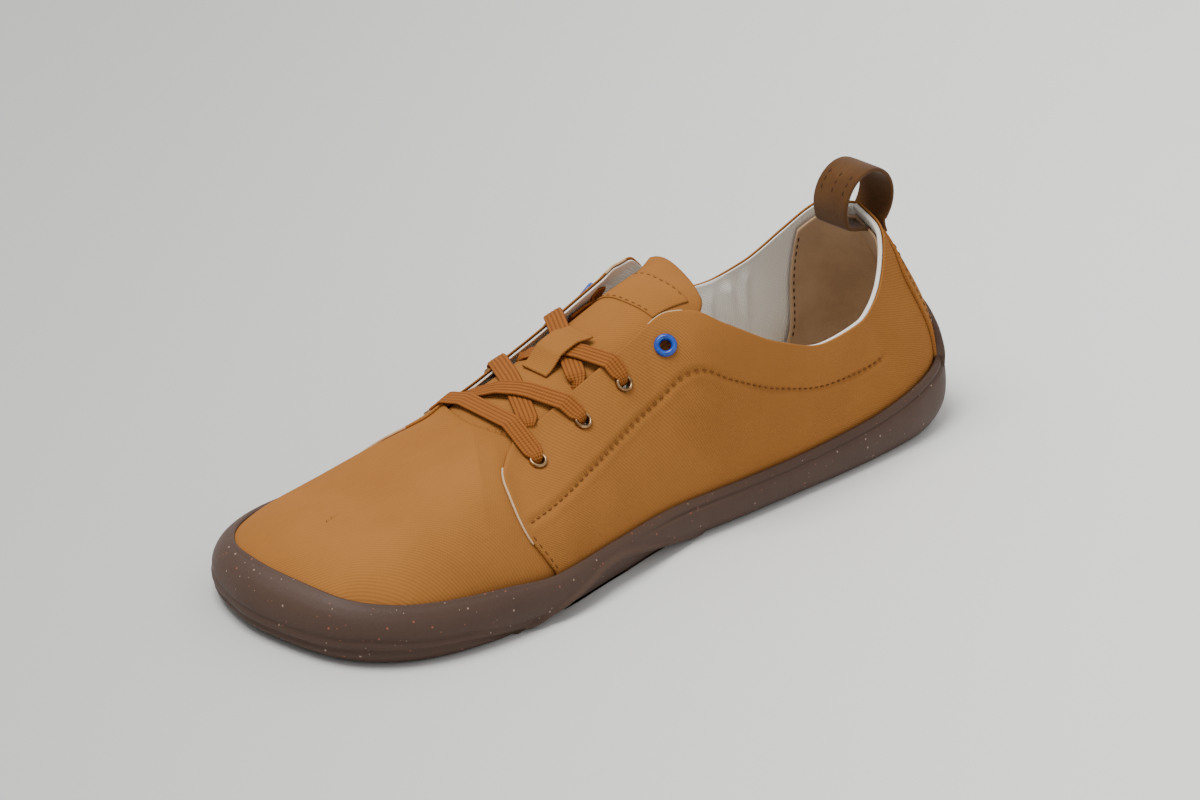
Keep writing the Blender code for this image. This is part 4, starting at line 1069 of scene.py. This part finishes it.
def strand(start, end, trees):
    """A band from one hole to another over all that lies between, dipping into each hole."""
    (a, a_normal), (b, b_normal) = start, end
    flat = np.linspace(a[:2], b[:2], 60)
    step = unit(b[:2] - a[:2])
    path, normals = [], []
    for x, y in flat:
        normal = np.array([0.32, (y + 0.005) / 0.034, 1.0])
        reach = []
        for over in (-0.0032, -0.0016, 0, 0.0016, 0.0032):
            dx, dy = -over * step[1], over * step[0]
            reach.append(top_at(trees, x + dx, y + dy) + normal[0] * dx + normal[1] * dy)
        path.append([x, y, max(reach) + (LACE_THICK / 2 + 0.0001) * np.linalg.norm(normal)])
        normals.append(normal)
    path, normals = np.array(path), unit(np.array(normals))
    path[:, 2] = relaxed(taut(travelled(flat), path[:, 2]), 45)
    length = travelled(path)
    widths = np.ones((len(path), 2))
    for seat, seat_normal, way in ((a, a_normal, length), (b, b_normal, length[-1] - length)):
        near = 1 - rise(way, 0.0002, 0.0036)[:, None]
        drop = (path - seat) @ seat_normal - 0.0008
        path = path - seat_normal * drop[:, None] * near
        normals = normals * (1 - near) + seat_normal * near
        widths *= 1 + near ** (1.5, 1.0) * (-0.36, 0.5)
    lean_a, lean_b = unit(path[8] - path[0]), unit(path[-9] - path[-1])
    path[0] = a + a_normal * 0.0002 + lean_a * 0.0004
    path[-1] = b + b_normal * 0.0002 + lean_b * 0.0004
    path = np.vstack([a - a_normal * 0.003, a - a_normal * 0.0012, path,
                      b - b_normal * 0.0012, b - b_normal * 0.003])
    normals = np.vstack([-lean_a, -lean_a, normals, -lean_b, -lean_b])
    normals[2] = (a_normal - lean_a) * 0.7
    normals[-3] = (b_normal - lean_b) * 0.7
    widths = np.vstack([[0.44, 1.2], [0.44, 1.3], widths, [0.44, 1.3], [0.44, 1.2]])
    widths[2] = widths[-3] = (0.5, 1.4)
    return swept(path, normals, lace_section(), widths)


STRANDS = (             # the lowest lies first; the bar lies last
    (("inner", "2"), ("outer", "3")),
    (("outer", "2"), ("inner", "3")),
    (("inner", "1"), ("outer", "2")),
    (("outer", "1"), ("inner", "2")),
    (("inner", "1"), ("outer", "1")),
)
under = [tree_of(made) for made in (vamp, quarters, tongue)]
trees, lace_meshes = list(under), []
for a, b in STRANDS:
    start = seats[a]
    if a[1] != b[1]:
        first = (start[0] * 0.8 + seats[b][0] * 0.2)[:2]
        start = (np.array([*first, top_at(under, *first)]), np.array([0.3, 0.0, 0.95]))
    lace_meshes.append(strand(start, seats[b], trees))
    trees.append(tree_of(lace_meshes[-1]))
for side, word in ((1, "inner"), (-1, "outer")):
    third, top = np.array(places[word, "3"]), np.array(places[word, "top"])
    share, v = (third + np.linspace(0.3, 1.25, 24)[:, None] * (top - third)).T
    lace_meshes.append(swept(*on_upper(side, share, np.minimum(v, 0.92), -HIDDEN_END),
                             oval(LACE_WIDTH, LACE_THICK)))
lace = piece("lace_strands", lace_meshes, lace_cloth, caps=True)
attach(lace, "root")
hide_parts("lace")


# Lace keeper
# A short doubled band of the canvas on the tongue; the third strands run under it.
KEEPER_WIDTH, KEEPER_THICK = 0.0105, 0.0009
lace_tree = tree_of(lace)
low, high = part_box("lace_keeper")
path = []
for part in np.linspace(0.26, 0.98, 40):
    x = low.x + (high.x - low.x) * part
    place = tongue_point((x - TO_ROW[0]) / LENGTH, 0.0)
    reach = max(top_at([lace_tree], place[0] + dx, place[1] + dy)
                for dx in (-0.001, 0, 0.001) for dy in (-0.005, 0, 0.005))
    path.append([*place[:2], max(place[2] + 0.0006, reach + 0.0008)])
path = np.array(path)
path[:, 2] = relaxed(path[:, 2], 30)
band = swept(path, np.tile((0.45, 0.0, 0.89), (40, 1)), oval(KEEPER_WIDTH, KEEPER_THICK, 20, 0.3))
keeper = piece("lace_keeper_band", [band], canvas, caps=True)
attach(keeper, "root")
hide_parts("lace_keeper")


# Tongue label
# A bare patch of the canvas sewn across the upper tongue.
grid_x, grid_a = np.meshgrid(np.linspace(0.412, 0.468, 24), np.linspace(-0.72, 0.72, 40), indexing="ij")
label = piece("tongue_label_patch", [lay("label", on_tongue(grid_x, grid_a, 0.0001)[0])], canvas)
thicken(label, 0.0003, 1.0)
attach(label, "root")
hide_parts("tongue_label")


# Stitches
# Thread in short raised runs: tan on the canvas, painted darker than the canvas-coloured thread as painted
# shade in the stitch holes, and dark brown on the microsuede.
def stitched(name, rows, finish, length, gap, radius):
    """Small stitches along lines of points."""
    shape = bmesh.new()
    for points in rows:
        way = travelled(points)
        for start in np.arange(gap / 2, way[-1] - length, length + gap):
            a, b = (Vector([np.interp(end, way, column) for column in points.T])
                    for end in (start, start + length))
            turn = (b - a).to_track_quat("X", "Z").to_matrix().to_4x4()
            size = Matrix.Diagonal(((b - a).length / 2, radius, radius, 1.0))
            bmesh.ops.create_uvsphere(shape, u_segments=6, v_segments=5, radius=1.0,
                                      matrix=Matrix.Translation((a + b) / 2) @ turn @ size)
    made = piece(name, [mesh_of(shape, name)], finish, weld=1e-8)
    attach(made, "root")


def thread(name, dark, light):
    finish = Finish(name, 0.8, specular=0.1)
    finish.colour(finish.between(finish.noise(finish.place(), 0.001), dark, light))
    return finish


# The tan thread is painted well darker than the canvas it matches: painted shade of the stitch holes.
tan_thread_painted_shade = thread("tan_thread_painted_shade", (0.13, 0.048, 0.012), (0.215, 0.084, 0.02))
dark_thread = thread("dark_thread", (0.035, 0.016, 0.01), (0.07, 0.034, 0.02))

rows = []
v = np.linspace(0.01, 0.3, 40)
for side in (1, -1):
    rows.append(on_upper(side, *smooth_line(STITCH_LINE, 200).T, -0.0003)[0])
    rows.append(on_upper(side, np.interp(v, *np.array(FRONT_EDGE).T) - 0.0045, v, 0.00005)[0])
stitched("quarter_stitches", rows, tan_thread_painted_shade, 0.0019, 0.0009, 0.00025)

levels = np.linspace(0.02, 0.94, 80)
spread = np.interp(levels, *smooth_line(PATCH_HALF, 40).T) - 0.009
rows = [on_upper(side, spread, -0.02 + 0.87 * levels, 0.00115)[0] for side in (1, -1)]
stitched("heel_patch_stitches", rows, tan_thread_painted_shade, 0.0019, 0.0009, 0.00028)

levels = np.linspace(0.02, 0.98, 80)
spread = np.interp(levels, *smooth_line(HEEL_LINING_HALF, 30).T) - 0.005
rows = [on_upper(side, spread, 0.03 + 0.9 * levels, -HEEL_LINING_DEEP - 0.0008)[0] for side in (1, -1)]
stitched("heel_lining_stitches", rows, dark_thread, 0.0017, 0.0009, 0.00026)

across = np.linspace(-0.68, 0.68, 40)
rows = [on_tongue(x_share, across, 0.0004)[0] for x_share in (0.415, 0.465)]
stitched("tongue_stitches", rows, tan_thread_painted_shade, 0.0018, 0.0009, 0.00026)

rows = []
for offset in (-0.0045, 0.0, 0.0045):
    points = np.array([on_loop(angle, LOOP_RADIUS + STRAP_THICK / 2) for angle in np.linspace(60, 20, 20)])
    points[:, 1] = loop_y + offset
    rows.append(points)
stitched("pull_loop_stitches", rows, dark_thread, 0.0017, 0.0011, 0.00024)


# Floor and light
# A plain pale floor that runs out of sight, with painted light: grey on the left of the view, near white on
# the right.
# One large soft light above the toe, a weak one from the inner side and one from behind, and an even pale
# sky.
ground_finish = Finish("pale_floor_painted_light", 0.9, specular=0.1)
x, y = ground_finish.parts(ground_finish.place())
# Painted light: the floor's colour ramps across the view, darker to the left and paler to the right.
depth = ground_finish.band(y - x, -0.4, 0.4)
ground_finish.colour(ground_finish.between(depth, (0.5, 0.5, 0.485), (0.95, 0.94, 0.91)))
shape = bmesh.new()
bmesh.ops.create_grid(shape, x_segments=2, y_segments=2, size=30.0)
floor = piece("floor", [mesh_of(shape, "floor")], ground_finish)
floor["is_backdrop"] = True

LIGHTS = (
    # name, place, size, power
    ("key", (0.45, -0.20, 1.50), 1.0, 27.0),
    ("side", (0.30, 1.50, 0.70), 1.2, 2.0),
    ("back", (-1.3, -0.5, 0.9), 1.0, 4.0),
)
for name, spot, width, power in LIGHTS:
    lamp = bpy.data.lights.new(name, "AREA")
    lamp.shape = "DISK"
    lamp.size = width
    lamp.energy = power
    light = bpy.data.objects.new(name, lamp)
    light.location = spot
    light.rotation_mode = "QUATERNION"
    light.rotation_quaternion = (Vector((0.0, 0.0, 0.03)) - Vector(spot)).to_track_quat("-Z", "Y")
    bpy.context.scene.collection.objects.link(light)
world = bpy.data.worlds.new("studio")
world.use_nodes = True
sky = world.node_tree.nodes["Background"].inputs
sky["Color"].default_value = (0.8, 0.81, 0.82, 1.0)
sky["Strength"].default_value = 0.8
bpy.context.scene.world = world

low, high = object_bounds()
